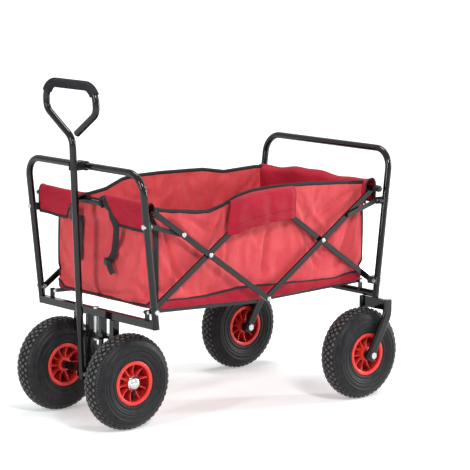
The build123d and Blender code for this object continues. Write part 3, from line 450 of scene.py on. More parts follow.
# ---------------------------------------------------------------- materials
class Finish(Nodes):
    """A material built round one Principled shader."""

    def __init__(self, name, **values):
        self.material = bpy.data.materials.new(name)
        self.material.use_nodes = True
        super().__init__(self.material.node_tree)
        self.shader = self.tree.nodes["Principled BSDF"]
        for key, value in values.items():
            self.shader.inputs[key.replace("_", " ")].default_value = value
        # where a point is on the cart
        self.place = self.node("ShaderNodeTexCoord").outputs["Object"]

    def feed(self, **sockets):
        """Wire the shader's inputs."""
        for name, socket in sockets.items():
            self.tree.links.new(socket, self.shader.inputs[name.replace("_", " ")])

    def group(self, tree, **wires):
        return self.out("ShaderNodeGroup", {"node_tree": tree}, **wires)

    def cloud(self, scale, contrast, place=None):
        """A mottled mask."""
        return self.group(MOTTLE, Vector=place or self.place, Scale=scale, Contrast=contrast)

    def dust(self, top, amount):
        return self.group(DUST, Vector=self.place, Top=top, Amount=amount)

    def mix(self, mask, low, high):
        """A colour between two, by a mask."""
        wires = {"n0": mask}
        for key, value in (("n6", low), ("n7", high)):
            wires[key] = value if isinstance(value, bpy.types.NodeSocket) else (*value, 1)
        return self.node("ShaderNodeMix", {"data_type": "RGBA"}, **wires).outputs[2]

    def span(self, mask, low, high):
        """A number between two, by a mask."""
        return self.out("ShaderNodeMapRange", Value=mask, To_Min=low, To_Max=high)

    def bump(self, height, depth, strength, **under):
        return self.out(
            "ShaderNodeBump", Height=height, Distance=depth, Strength=strength, **under
        )

    def grain(self, scale, detail, depth, strength):
        """Fine relief from noise, as the shader's normal."""
        noise = self.noise(self.place, scale, detail)
        self.feed(Normal=self.bump(noise, depth, strength))
        return self.material


def painted_finish(name, colour, rough=(0.05, 0.12)):
    """Gloss paint with a faint orange peel, small scuffs and road dust low down."""
    paint = Finish(name, Specular_IOR_Level=0.3)
    cloud = paint.cloud(35.0, 2.2)
    shade = paint.mix(cloud, colour, tuple(1.35 * c + 0.001 for c in colour))
    dusty = paint.mix(paint.dust(0.3, 0.05), shade, (0.16, 0.15, 0.14))
    paint.feed(Base_Color=dusty, Roughness=paint.span(cloud, *rough))
    return paint.grain(900.0, 2.0, 0.00002, 0.25)


def even_finish(name, cloud, colours, rough, grain, **values):
    """A finish whose colour and roughness follow one mottled mask, with fine relief."""
    finish = Finish(name, **values)
    mask = finish.cloud(*cloud)
    finish.feed(Base_Color=finish.mix(mask, *colours), Roughness=finish.span(mask, *rough))
    return finish.grain(*grain)


def metal_finish(name, colour, rough=(0.2, 0.42), scale=220.0):
    """Plated steel with cloudy gloss and fine marks."""
    colours = (tuple(0.82 * c for c in colour), colour)
    return even_finish(name, (scale, 2.5), colours, rough, (1400.0, 3.0, 0.00002, 0.3), Metallic=1.0)


def plastic_finish(name, colour, deep, rough=(0.28, 0.42), coat=0.0):
    """Moulded plastic with a fine grain and a slow change of shade."""
    shine = {"Specular_IOR_Level": 0.22, "Coat_Weight": coat, "Coat_Roughness": 0.15}
    grain = (1600.0, 2.0, 0.00003, 0.5)
    return even_finish(name, (50.0, 1.8), (deep, colour), rough, grain, **shine)


def tyre_finish():
    """Charcoal rubber: the blocks' tops are paler, as worn rubber and as a painted highlight, the
    sidewall is darker, dust lies low.
    """
    rubber = Finish("tyre_rubber", Specular_IOR_Level=0.13)
    cloud = rubber.cloud(70.0, 2.4)
    worn_and_lit = rubber.node("ShaderNodeAttribute", {"attribute_name": "worn_and_lit"}).outputs["Fac"]
    wall = rubber.mix(cloud, (0.009, 0.009, 0.010), (0.021, 0.021, 0.023))
    # paler colour for the blocks' tops: worn rubber and a painted highlight
    worn_and_lit_colour = rubber.mix(cloud, (0.050, 0.048, 0.046), (0.120, 0.116, 0.110))
    shade = rubber.mix(worn_and_lit, wall, worn_and_lit_colour)
    dusty = rubber.mix(rubber.dust(0.12, 0.25), shade, (0.11, 0.105, 0.1))
    rubber.feed(Base_Color=dusty, Roughness=rubber.span(cloud, 0.36, 0.52))
    return rubber.grain(700.0, 4.0, 0.00012, 0.5)


def cloth_finish(name, painted_shade, light, sheen):
    """Coated polyester: a plain weave with painted shade between its threads, soft blotches of
    painted light and shade for the folds, slight creases and a sheen.
    """
    cloth = Finish(name, Sheen_Weight=sheen, Sheen_Roughness=0.45, Specular_IOR_Level=0.12)
    cloth.shader.inputs["Sheen Tint"].default_value = (1.0, 0.82, 0.82, 1)
    along = cloth.out("ShaderNodeUVMap", {"uv_map": "cloth"})
    weave = cloth.group(WEAVE, Vector=along, Threads=900.0)
    cloud = cloth.cloud(9.0, 1.9)
    # blotches between the shaded and the lit colour: painted light and shade for the folds
    body = cloth.mix(cloud, painted_shade, light)
    # darker flecks for the weave's low parts: painted shade between the threads
    flecked_thread_shade = cloth.mix(cloth.cloud(700.0, 1.6, along), tuple(0.86 * c for c in painted_shade), body)
    waves = cloth.bump(cloth.noise(along, 7.0, 1.0, Distortion=1.2), 0.03, 0.75)
    creases = cloth.bump(cloth.noise(along, 26.0, 5.0), 0.007, 0.6, Normal=waves)
    cloth.feed(
        # the weave's low parts take the darker flecks, painted shade
        Base_Color=cloth.mix(weave, flecked_thread_shade, body),
        Roughness=cloth.span(cloud, 0.55, 0.7),
        Normal=cloth.bump(weave, 0.00016, 0.7, Normal=creases),
    )
    return cloth.material


def webbing_finish():
    """Black ribbed tape, with painted shade between its ribs, for the binding and the straps."""
    tape = Finish("black_webbing", Specular_IOR_Level=0.12)
    ribs = tape.group(WEAVE, Vector=tape.place, Threads=620.0)
    cloud = tape.cloud(45.0, 1.8)
    shade = tape.mix(cloud, (0.011, 0.011, 0.012), (0.024, 0.024, 0.026))
    tape.feed(
        # the ribs' crests paler than their grooves: painted shade between the ribs
        Base_Color=tape.mix(ribs, shade, (0.034, 0.034, 0.036)),
        Roughness=tape.span(cloud, 0.55, 0.75),
        Normal=tape.bump(ribs, 0.00022, 0.7),
    )
    return tape.material


def foam_finish():
    """Closed-cell foam, matt and slightly pitted."""
    foam = Finish("grip_foam", Specular_IOR_Level=0.06)
    cells = foam.out("ShaderNodeTexVoronoi", Vector=foam.place, Scale=900.0)
    cloud = foam.cloud(60.0, 2.0)
    foam.feed(
        Base_Color=foam.mix(cloud, (0.016, 0.016, 0.018), (0.034, 0.034, 0.037)),
        Roughness=foam.span(cloud, 0.78, 0.92),
        Normal=foam.bump(cells, 0.0004, 0.6),
    )
    return foam.material


GLOSS_BLACK = painted_finish("gloss_black_paint", (0.0025, 0.0025, 0.003))
SATIN_BLACK = painted_finish("satin_black_paint", (0.012, 0.012, 0.013), rough=(0.3, 0.45))
ZINC = metal_finish("zinc_plate", (0.50, 0.51, 0.53))
BRIGHT = metal_finish("bright_plate", (0.62, 0.62, 0.63), rough=(0.1, 0.24), scale=90.0)
RIM_RED = plastic_finish("rim_red", (0.78, 0.045, 0.032), (0.62, 0.028, 0.024), coat=0.25)
# the same red plastic made darker: painted shade for the web behind the ribs
RIM_PAINTED_SHADE = plastic_finish("rim_red_recess", (0.36, 0.014, 0.016), (0.22, 0.008, 0.012))
BLACK_PLASTIC = plastic_finish("black_moulding", (0.02, 0.02, 0.021), (0.01, 0.01, 0.011))
VALVE_RUBBER = plastic_finish(
    "valve_rubber", (0.022, 0.022, 0.024), (0.012, 0.012, 0.013), rough=(0.5, 0.7)
)
TYRE = tyre_finish()
# the red cloth's darker and paler colours are painted shade and painted light for its folds
RED_CLOTH = cloth_finish("red_cloth", (0.54, 0.046, 0.060), (0.78, 0.115, 0.118), sheen=0.12)
# the red cloth darker all over: painted shade for the sleeves, the flaps and the floor's upturned
# edge
PAINTED_SHADE_CLOTH = cloth_finish("sleeve_cloth", (0.30, 0.007, 0.022), (0.48, 0.018, 0.040), sheen=0.05)
WEBBING = webbing_finish()
FOAM = foam_finish()
THREAD = plastic_finish("black_thread", (0.02, 0.02, 0.02), (0.01, 0.01, 0.01), rough=(0.6, 0.8))


def belongs(piece, body, slot, *nodes):
    """Say which body carries a piece and the solids that it stands for; the material slot is not
    used.
    """
    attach(piece, body)
    if nodes:
        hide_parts(*nodes)


def folds_up(*pieces):
    """Give each piece its own copy of its mesh."""
    for piece in pieces:
        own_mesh(piece)


# ---------------------------------------------------------------- wheels
CROWN_RADIUS = 127.4
BLOCK_HEIGHT = 2.8
BLOCKS_ROUND = 46
BLOCK_ROWS = 3
ROW_PITCH = 9.0
BLOCK_HALF = 7.5
BLOCK_SINK = 0.8
TREAD_EDGE = 36.0
RIB_COUNT = 10
# the rim's faces between these radii lie behind the ribs and take a darker red: painted shade
WEB_INSIDE = 21.0
WEB_OUTSIDE = 49.4

# half of the tyre's outside as (distance from the middle, radius), from the tread to the rim's lip
TYRE_SIDE = [
    (0.0, 127.4), (8.0, 126.7), (16.0, 124.6), (23.0, 121.4), (28.6, 117.3), (32.4, 112.2),
    (34.8, 106.6), (35.3, 104.0), (37.3, 102.8), (38.0, 100.6), (36.5, 98.4), (36.9, 96.0),
    (37.3, 92.0), (37.2, 87.2), (36.0, 85.8), (37.8, 84.2), (37.9, 82.2), (36.5, 80.6),
    (36.5, 78.0), (35.6, 73.0), (34.0, 71.4), (35.0, 69.8), (34.6, 65.6), (33.9, 62.4),
    (32.0, 61.2), (30.4, 58.6), (29.0, 56.0),
]


def crown_radius(place):
    """The carcass's radius at a distance from the tread's middle."""
    widest = [k for k, (y, _) in enumerate(TYRE_SIDE) if y < TREAD_EDGE][-1]
    outside = TYRE_SIDE[: widest + 1]
    return np.interp(abs(place), [y for y, _ in outside], [r for _, r in outside])


def make_tread():
    """Rows of diamond blocks, staggered, whose tops and feet follow the crown."""
    places, outward, around, size = [], [], [], []
    for row in range(-BLOCK_ROWS, BLOCK_ROWS + 1):
        along = row * ROW_PITCH
        radius = float(crown_radius(along))
        for k in range(BLOCKS_ROUND):
            turn = 2 * pi * (k + 0.5 * (row % 2)) / BLOCKS_ROUND
            s, c = sin(turn), cos(turn)
            places.append((radius * s, along, radius * c))
            outward.append((s, 0.0, c))
            around.append((c, 0.0, -s))
            size.append(radius / CROWN_RADIUS)
    seeds = with_vectors(
        mesh_object("tread_seeds", places), outward=outward, around=around, size=size
    )
    blocks = {"Block_Size": BLOCK_HALF * MM, "Block_Height": BLOCK_HEIGHT * MM, "Top_Share": 0.86}
    tread = run_tree(seeds, TREAD, **blocks, Material=TYRE)
    for vertex in tread.data.vertices:
        x, y, z = (c / MM for c in vertex.co)
        radius = (x * x + z * z) ** 0.5
        on_top = radius > crown_radius(round(y / ROW_PITCH) * ROW_PITCH) + 0.5 * BLOCK_HEIGHT
        wanted = crown_radius(y) + (BLOCK_HEIGHT if on_top else -BLOCK_SINK)
        vertex.co = Vector((x * wanted / radius, y, z * wanted / radius)) * MM
    return bevelled(tread, 0.5, segments=1)


def make_tyre():
    """The carcass, with steps on its sidewalls, and the tread's blocks."""
    outside = TYRE_SIDE + [(27.0, 57.0)]
    profile = [(-y, r) for y, r in reversed(outside[1:])] + outside
    carcass = lathe("tyre_carcass", profile, TYRE, segments=144)
    carcass.data.attributes.new("worn_and_lit", "FLOAT", "FACE")
    set_smooth(carcass, 50)
    return join("tyre", [carcass, make_tread()])


def make_rib():
    """One rib of the rim, from the hub to the barrel, with a curved outer edge."""
    inner, outer, root, half_thick = 17.0, 50.0, 2.0, 1.7
    edge = [(inner, 25.0), (24.0, 22.0), (33.0, 20.6), (42.0, 21.8), (outer, 25.0)]
    outline = [(inner, root), (outer, root), *reversed(edge)]
    rib = prism(outline, -half_thick, half_thick, RIM_RED)
    # the prism's outline is (radius, along the axle), and the wheel's axle lies along Y
    rib.data.transform(Matrix(((1, 0, 0, 0), (0, 0, 1, 0), (0, 1, 0, 0), (0, 0, 0, 1))))
    return bevelled(tidy_normals(rib), 0.7)


def make_rim():
    """A moulded rim: flange, barrel, web and hub, with ribs on both faces and painted shade on its
    web.
    """
    flange = [
        (31.0, 55.0), (31.0, 59.2), (32.0, 60.0), (33.4, 60.0), (34.4, 59.2), (34.8, 57.4),
        (34.6, 52.4), (33.6, 50.4), (31.0, 49.6), (14.0, 48.6), (5.6, 47.6), (3.2, 45.2),
    ]
    hub = [
        (3.2, 24.0), (4.6, 21.6), (9.0, 20.6), (27.0, 19.4), (29.4, 18.6), (30.0, 17.2),
        (30.0, 12.4), (29.2, 11.2), (22.0, 11.2),
    ]
    left = flange + hub
    right = [(-y, r) for y, r in reversed(left)]
    rim = lathe("rim_body", left + right, RIM_RED, segments=120)
    rim.data.materials.append(RIM_PAINTED_SHADE)
    # faces on the web between the ribs take the darker red, painted shade
    for face in rim.data.polygons:
        x, _, z = face.center / MM
        face.material_index = int(WEB_INSIDE < (x * x + z * z) ** 0.5 < WEB_OUTSIDE)
    rib = make_rib()
    pair = join("ribs", [rib, mirrored(copy_of(rib, "rib_inside"))])
    return join("rim", [rim, run_tree(pair, RING, Count=RIB_COUNT, Material=RIM_RED)])


def make_hub_cap():
    """The domed cap over the axle's nut, with a small lip round its foot."""
    dome = [(44.0, 0.0), (43.6, 4.0), (42.4, 8.6), (40.2, 12.6), (37.2, 15.8), (34.0, 17.8)]
    foot = [(32.2, 18.6), (31.4, 19.6), (30.4, 19.8), (30.0, 19.2), (30.0, 0.0)]
    return lathe("hub_cap", dome + foot, BRIGHT, segments=72, closed=False)


def make_valve():
    """The valve's rubber stem and its cap, leaning out between two ribs."""
    stem = [(0.0, 0.0), (0.0, 5.6), (2.0, 5.4), (5.0, 4.0), (15.0, 3.6)]
    cap = [(15.6, 4.4), (22.6, 4.2), (24.0, 3.4), (24.6, 0.0)]
    valve = lathe("valve", stem + cap, VALVE_RUBBER, segments=28, closed=False)
    lean = Matrix.Rotation(radians(-52), 4, "X")
    foot = Matrix.Translation(Vector((0, 10, 48)) * MM)
    valve.data.transform(Matrix.Rotation(radians(162), 4, "Y") @ foot @ lean)
    return valve


# where each wheel's middle is, and how far it has turned
WHEELS = {
    "front_left": (FRONT_AXLE_X, FRONT_TRACK / 2, 29.0),
    "front_right": (FRONT_AXLE_X, -FRONT_TRACK / 2, 200.0),
    "rear_left": (REAR_AXLE_X, REAR_TRACK / 2, 95.0),
    "rear_right": (REAR_AXLE_X, -REAR_TRACK / 2, 300.0),
}


def make_wheels():
    """Four wheels from one tyre, rim, cap and valve; only the front ones have caps."""
    tyre, rim, cap, valve = make_tyre(), make_rim(), make_hub_cap(), make_valve()
    for name, (x, y, turn) in WHEELS.items():
        kinds = [(tyre, "tyre", "tyre_rubber"), (rim, "rim", "red_rim")]
        if name.startswith("front"):
            kinds.append((cap, "cap", "cap_chrome"))
        kinds.append((valve, None, "tyre_rubber"))
        for source, kind, slot in kinds:
            piece = copy_of(source, f"{name}_{kind}_look" if kind else f"{name}_valve")
            if y < 0:
                mirrored(piece)
            piece.data.transform(Matrix.Rotation(radians(turn), 4, "Y"))
            moved(piece, (x, y, TYRE_RADIUS))
            belongs(piece, f"{name}_wheel", slot, *([f"{name}_{kind}"] if kind else []))
    for source in (tyre, rim, cap, valve):
        bpy.data.objects.remove(source)


# ---------------------------------------------------------------- basket
SIDE_Y = 219.0
FRONT_X = 323.0
REAR_X = -423.0
CORNER = 13.0
COLUMN_PITCH = 8.0
ROW_COUNT = 30
CLOTH_WALL = 1.5
OUTER_LIMIT = 225.5
REAR_LIMIT = REAR_X - 14
MOST_SETTLING = 16.0
# between two heights the ends lean out to the rods, by so much at the front and at the rear,
# and the front wall's foot stands forward too
LEAN_HEIGHTS = (530, 596)
FRONT_LEAN = 26
REAR_LEAN = 9
FRONT_FOOT = 6
# widths and thicknesses of the binding
EDGE_TAPE = (11.0, 4.6)
SEAM_TAPE = (8.0, 4.4)
CORNER_TAPE = (16.0, 4.0)
STITCH_PITCH = 4.5
STITCH_OUT = 2.34
STITCH_IN = 2.6
# the sides' top edge is held along the sleeves and near the ends, and is looser elsewhere
UNDER_SLEEVE = (-150, 90)
HELD_END = 25
LOOSE_HOLD = 0.55
BELOW_HOLD = 0.5
OUTWARD = {"left": (0, 1, 0), "right": (0, -1, 0), "front": (1, 0, 0), "rear": (-1, 0, 0)}

# heights of the sides' edges, as (x, z)
LEFT_TOP = [
    (REAR_X, 606), (-390, 610), (-300, 616), (-206, 620), (-139, 621), (-74, 621), (3, 616),
    (54, 605), (104, 585), (147, 575), (190, 576), (270, 586), (FRONT_X, 599),
]
RIGHT_TOP = [
    (REAR_X, 608), (-391, 611), (-274, 606), (-192, 618), (-32, 620), (60, 618), (100, 613),
    (160, 590), (238, 578), (FRONT_X, 599),
]
SIDE_SEAM = [
    (REAR_X, 352), (-376, 353), (-301, 345), (-132, 351), (40, 355), (163, 345), (FRONT_X, 351),
]
# the ends' seam and top edge: the height in the middle, and how much it rises to the corners
END_HEIGHTS = {"front": ((333.0, 16), (597.0, 2)), "rear": ((340.0, 12), (598.0, 8))}

# What pushes each wall outwards, at an (across, up) on it:
# fans of folds (the point that pulls, headings in degrees, width, depth, reach),
# single creases (two ends, width, depth),
# and a swell: depth * sin(across / length + start) * sin(up / height + across / slant + rise).
FOLDS = {
    "left": (
        [
            ((-128, 622), (-38, -58, -118, -140), 9, 8.0, 320),
            ((-420, 606), (-22, -48, -66), 9, -15.0, 320),
            ((90, 604), (-62, -86, -128), 9, 8.0, 260),
            ((322, 598), (-112, -140, -160), 9, -15.0, 300),
        ],
        [
            ((318, 480), (236, 352), 9, 7.0), ((330, 400), (296, 350), 8, -3.0),
            ((10, 540), (28, 360), 9, 6.0), ((-62, 535), (-44, 360), 9, -13.0),
            ((-420, 420), (-330, 360), 9, 7.0), ((-180, 520), (-250, 370), 10, -14.0),
        ],
        (2.0, 41.0, 1.0, 57.0, 90.0, 0.0),
    ),
    "right": (
        [
            ((-120, 620), (-35, -64, -110, -148), 16, 4.5, 300),
            ((-420, 606), (-30, -55), 16, -4.5, 280),
            ((84, 612), (-50, -78, -125), 15, 4.0, 260),
            ((322, 598), (-118, -150), 14, -4.5, 270),
        ],
        [
            ((316, 470), (226, 356), 10, 4.5), ((-20, 540), (-34, 360), 12, -3.5),
            ((-416, 430), (-320, 360), 10, 4.0),
        ],
        (2.2, 47.0, 0.4, 52.0, -80.0, 0.0),
    ),
    "front": (
        [
            ((-205, 590), (-78, -62, -40), 14, 4.0, 260),
            ((205, 590), (-104, -122, -145), 14, 4.5, 280),
        ],
        [
            ((20, 560), (112, 455), 11, 10.0), ((52, 560), (66, 440), 10, -14.0),
            ((160, 545), (206, 345), 10, 10.0), ((130, 420), (190, 345), 9, -11.0),
            ((-190, 360), (-120, 450), 11, 9.0), ((-205, 470), (-120, 410), 9, -11.0),
        ],
        (1.8, 33.0, 2.0, 49.0, inf, 0.0),
    ),
    "rear": (
        [((-205, 592), (-75, -50), 15, -4.0, 260), ((205, 592), (-105, -132), 15, -4.0, 260)],
        [((-60, 540), (-30, 380), 14, 4.0), ((70, 520), (110, 370), 14, -4.0)],
        (1.8, 37.0, 0.0, 45.0, inf, 1.0),
    ),
}


def between(table, value):
    """A height from a table of (place, height)."""
    return float(np.interp(value, [place for place, _ in table], [height for _, height in table]))


def plan_of_basket():
    """Columns round the basket in plan: (x, y, wall), from the rear left corner forwards."""
    walls = ("left", "front", "right", "rear")
    corners = [(REAR_X, SIDE_Y), (FRONT_X, SIDE_Y), (FRONT_X, -SIDE_Y), (REAR_X, -SIDE_Y)]
    columns = []
    for number, wall in enumerate(walls):
        following = (number + 1) % len(walls)
        start, end = np.array(corners[number]), np.array(corners[following])
        run = np.linalg.norm(end - start)
        steps = int(round((run - 2 * CORNER) / COLUMN_PITCH))
        way = (end - start) / run
        for k in range(steps + 1):
            columns.append((*(start + way * (CORNER + (run - 2 * CORNER) * k / steps)), wall))
        # the rounded corner to the next wall, which takes its last column
        inward = np.array((way[1], -way[0]))
        centre = end - way * CORNER + inward * CORNER
        for turn, owner in ((22.5, wall), (45.0, wall), (67.5, walls[following])):
            spot = centre + CORNER * (way * sin(radians(turn)) - inward * cos(radians(turn)))
            columns.append((*spot, owner))
    return columns


def heights_at(x, y, wall):
    """The seam's and the top edge's height at a column."""
    if wall in ("left", "right"):
        return between(SIDE_SEAM, x), between(LEFT_TOP if wall == "left" else RIGHT_TOP, x)
    near_corner = float(smoothstep(SIDE_Y - 40, SIDE_Y - CORNER, abs(y)))
    return [middle + rise * near_corner for middle, rise in END_HEIGHTS[wall]]


def shell_points():
    """The basket's walls before they hang: rows of columns, from the seam to the top edge."""
    plan = plan_of_basket()
    rows = []
    for row in range(ROW_COUNT + 1):
        share = row / ROW_COUNT
        line = []
        for x, y, wall in plan:
            low, high = heights_at(x, y, wall)
            z = low + share * (high - low)
            # the ends lean out to the rods near the top
            to_front = float(smoothstep(FRONT_X - 70, FRONT_X - 5, x))
            to_rear = float(smoothstep(REAR_X + 60, REAR_X + 5, x))
            lean = float(smoothstep(*LEAN_HEIGHTS, z))
            ahead = x + to_front * (lean * FRONT_LEAN + FRONT_FOOT * (1 - share))
            line.append((ahead - to_rear * lean * REAR_LEAN, y, z))
        rows.append(line)
    return plan, np.array(rows)


def fan_of_folds(x, z, apex, headings, width, depth, reach):
    """Folds that fan out from a point that pulls the cloth: how far each point is pushed."""
    dx, dz = x - apex[0], z - apex[1]
    far = np.hypot(dx, dz)
    facing = np.degrees(np.arctan2(dz, dx))
    push = np.zeros_like(x)
    for heading in headings:
        off = (facing - heading + 180) % 360 - 180
        across = far * np.sin(np.radians(np.clip(off, -90, 90)))
        spread = width * (0.35 + far / reach)
        ridge = np.exp(-((across / spread) ** 2)) * (np.abs(off) < 90)
        push += depth * ridge
    return push * smoothstep(0, 40, far) * (1 - smoothstep(0.6 * reach, reach, far))


def crease(x, z, start, end, width, depth):
    """One straight crease between two points."""
    sx, sz = start
    ex, ez = end
    run = np.hypot(ex - sx, ez - sz)
    along = ((x - sx) * (ex - sx) + (z - sz) * (ez - sz)) / run
    across = ((x - sx) * (ez - sz) - (z - sz) * (ex - sx)) / run
    ends = smoothstep(0, 0.25 * run, along) * (1 - smoothstep(0.75 * run, run, along))
    return depth * np.exp(-((across / width) ** 2)) * ends


def wall_push(wall, across, up):
    """How far a wall is pushed outwards, as its bars, sleeve and corners pull it."""
    fans, creases, (depth, length, start, height, slant, rise) = FOLDS[wall]
    push = np.zeros_like(across)
    for fan in fans:
        push += fan_of_folds(across, up, *fan)
    for line in creases:
        push += crease(across, up, *line)
    swell = depth * np.sin(across / length + start)
    return push + swell * np.sin(up / height + across / slant + rise)


def creased(plan, rows):
    """Push the hanging walls in and out, less towards their seams."""
    rows = rows.copy()
    share = np.linspace(0, 1, len(rows))
    calm = smoothstep(0, 0.10, share) * (1 - 0.75 * smoothstep(0.86, 1.0, share))
    for k, (_, _, wall) in enumerate(plan):
        x, y, z = rows[:, k].T
        if wall in ("left", "right"):
            push = wall_push(wall, x, z)
            ends = smoothstep(0, 45, min(FRONT_X - x.mean() + 10, x.mean() - REAR_X))
        else:
            push = wall_push(wall, y, z)
            ends = smoothstep(0, 40, SIDE_Y - abs(y.mean()))
        rows[:, k] += np.outer(push * calm * ends, OUTWARD[wall])
    return rows


# settings of the cloth simulation
HANGING = {
    "quality": 6, "mass": 0.25, "vertex_group_mass": "held", "pin_stiffness": 8,
    "tension_stiffness": 25, "compression_stiffness": 25, "shear_stiffness": 8,
    "bending_stiffness": 1.2, "shrink_min": -0.012, "shrink_max": -0.012,
}


def hang_cloth(plan, rows, frames=26):
    """Let the walls hang with a little slack, held by their seam and parts of the top edge."""
    height, width = rows.shape[:2]
    points = rows.reshape(-1, 3)
    faces = []
    for row in range(height - 1):
        for k in range(width):
            low, after = row * width, (k + 1) % width
            faces.append((low + k, low + after, low + width + after, low + width + k))
    cloth = mesh_object("hanging_walls", points, faces)
    held = cloth.vertex_groups.new(name="held")
    for k, (x, _, wall) in enumerate(plan):
        held.add([k], 1.0, "REPLACE")
        top = (height - 1) * width + k
        over_sleeve = wall in ("left", "right") and UNDER_SLEEVE[0] < x < UNDER_SLEEVE[1]
        at_end = x > FRONT_X - HELD_END or x < REAR_X + HELD_END
        fast = over_sleeve or at_end or wall in ("front", "rear")
        held.add([top], 1.0 if fast else LOOSE_HOLD, "REPLACE")
        if fast:
            held.add([top - width], BELOW_HOLD, "REPLACE")
    modifier = cloth.modifiers.new("hang", "CLOTH")
    for key, value in HANGING.items():
        setattr(modifier.settings, key, value)
    modifier.collision_settings.use_collision = False
    modifier.point_cache.frame_end = frames
    scene = bpy.context.scene
    for step in range(1, frames + 1):
        scene.frame_set(step)
    hung = cloth.evaluated_get(bpy.context.evaluated_depsgraph_get())
    settled = np.array([v.co for v in hung.data.vertices]) / MM
    scene.frame_set(1)
    bpy.data.objects.remove(cloth)
    shift = settled - points
    far = np.linalg.norm(shift, axis=1, keepdims=True)
    settled = points + shift * np.minimum(1, MOST_SETTLING / np.maximum(far, 1e-6))
    settled = settled.reshape(rows.shape)
    settled[:, :, 1] = np.clip(settled[:, :, 1], -OUTER_LIMIT, OUTER_LIMIT)
    settled[:, :, 0] = np.maximum(settled[:, :, 0], REAR_LIMIT)
    return settled


def run_along(grid, axis):
    """How far each row or column lies from the first, measured on the cloth."""
    steps = np.linalg.norm(np.diff(grid, axis=axis), axis=2).mean(axis=1 - axis)
    return np.concatenate([[0], np.cumsum(steps)])


def cloth_sheet(name, grid, material, up=None, wall=CLOTH_WALL, rounds=1):
    """A sheet from a grid of points, with coordinates in metres along it and up it."""
    height, width = grid.shape[:2]
    faces = []
    for row in range(height - 1):
        for a in range(row * width, row * width + width - 1):
            faces.append((a, a + 1, a + width + 1, a + width))
    sheet = mesh_object(name, grid.reshape(-1, 3), faces, material)
    flat = np.zeros((height, width, 2))
    flat[:, :, 0] = run_along(grid, 1)[None, :]
    flat[:, :, 1] = run_along(grid, 0)[:, None] if up is None else up
    flat = flat.reshape(-1, 2) * MM
    layer = sheet.data.uv_layers.new(name="cloth")
    for loop in sheet.data.loops:
        layer.data[loop.index].uv = flat[loop.vertex_index]
    if rounds:
        rounder = sheet.modifiers.new("rounder", "SUBSURF")
        rounder.levels = rounder.render_levels = rounds
        rounder.boundary_smooth = "PRESERVE_CORNERS"
    thick = sheet.modifiers.new("wall", "SOLIDIFY")
    thick.thickness = wall * MM
    thick.offset = 0.0
    return plain_mesh(sheet)


def line_object(line):
    """A mesh of edges through the given points."""
    edges = [(k, k + 1) for k in range(len(line) - 1)]
    return mesh_object("line", [tuple(p) for p in line], edges=edges)


def strip_along(line, face, width, thickness, material=None):
    """A strip of binding along a line, lying flat against the given direction."""
    faces = np.broadcast_to(np.array(face, float), (len(line), 3)).copy()
    size = {"Width": width * MM, "Thickness": thickness * MM}
    return run_tree(
        with_vectors(line_object(line), face=faces), BINDING, **size, Material=material or WEBBING
    )


def stitches_along(line):
    """A row of stitches along a line."""
    size = {"Pitch": STITCH_PITCH * MM, "Stitch_Length": 0.66 * STITCH_PITCH * MM}
    return run_tree(line_object(line), STITCHES, **size, Thread=0.45 * MM, Material=THREAD)


def declare_sheet(grid, on):
    """Work out the flat size and the area that a sheet's grid was cut to; they are not kept."""
    along = np.linalg.norm(np.diff(grid, axis=1), axis=2)
    up = np.linalg.norm(np.diff(grid, axis=0), axis=2)
    flat = (along.sum(axis=1).max() * MM, up.sum(axis=0).max() * MM)
    area = float((0.25 * (along[:-1] + along[1:]) * (up[:, :-1] + up[:, 1:])).sum()) * MM * MM
    area = min(area, flat[0] * flat[1])


def make_basket():
    """The walls, hung as one shell and cut at the rear corners, with binding on their edges."""
    plan, rows = shell_points()
    rows = creased(plan, rows)
    rows = hang_cloth(plan, rows)
    count = len(plan)
    rear = [k for k, (_, _, wall) in enumerate(plan) if wall == "rear"]
    front_run = [k % count for k in range(rear[-1] + 1 - count, rear[0] + 1)]
    rear_run = [k % count for k in range(rear[0], rear[-1] + 2)]
    front_nodes = ("side_panel_left", "side_panel_right", "front_panel")
    for name, body, run, side_x, rod, nodes in (
        ("basket_walls", "basket", front_run, 1, "front_top_rod", front_nodes),
        ("rear_wall", "rear_rod", rear_run, -1, "rear_top_rod", ("rear_panel",)),
    ):
        grid = rows[:, run]
        piece = cloth_sheet(name, grid, RED_CLOTH, up=grid[:, :, 2])
        belongs(piece, body, "red_fabric", *nodes)
        outward = np.array([OUTWARD[plan[k][2]] for k in run], float)
        parts = [
            strip_along(grid[-1], outward, *EDGE_TAPE),
            strip_along(grid[0], outward, *SEAM_TAPE),
        ]
        for row, height in ((-1, -STITCH_IN), (0, STITCH_IN)):
            parts.append(stitches_along(grid[row] + STITCH_OUT * outward + (0, 0, height)))
        # upright binding where the walls meet
        for side_y in (1, -1):
            way = np.array((0.7 * side_x, 0.7 * side_y, 0))
            corner = max(range(count), key=lambda k: side_x * plan[k][0] + side_y * plan[k][1])
            parts.append(strip_along(rows[:, corner] + way * 1.5, way, *CORNER_TAPE))
        trim = join(f"{body}_binding", parts)
        belongs(trim, body, "black_plastic")
        declare_sheet(grid, rod)
        if body == "basket":
            folds_up(piece, trim)
    make_floor(plan, rows)


# the floor rails' upper edge: its height at the ends, its sag at the middle hinge, and its reach
RAIL_HEIGHT = 327.0
RAIL_SAG = 14.0
RAIL_HALF = 390.0
RAIL_ENDS = (-430, 350)
# the floor's upturned edge: share of the drop to the rails, and how far in from the seam
UPTURN = [
    (0.0, 0.0), (0.3, -1.5), (0.7, -1.0), (1.0, 2.5), (1.0, 7.0), (0.86, 12.0), (0.82, 22.0),
]
BOARD_THICK = 3.0
BOARD_RISE = 5.5
BOARD_LAP = 2


def rail_top(x):
    """The height of the floor rails' upper edge, which sags towards their middle hinge."""
    return RAIL_HEIGHT - RAIL_SAG * (1 - np.abs(np.clip(x, *RAIL_ENDS) - LOW_JOINT[0]) / RAIL_HALF)


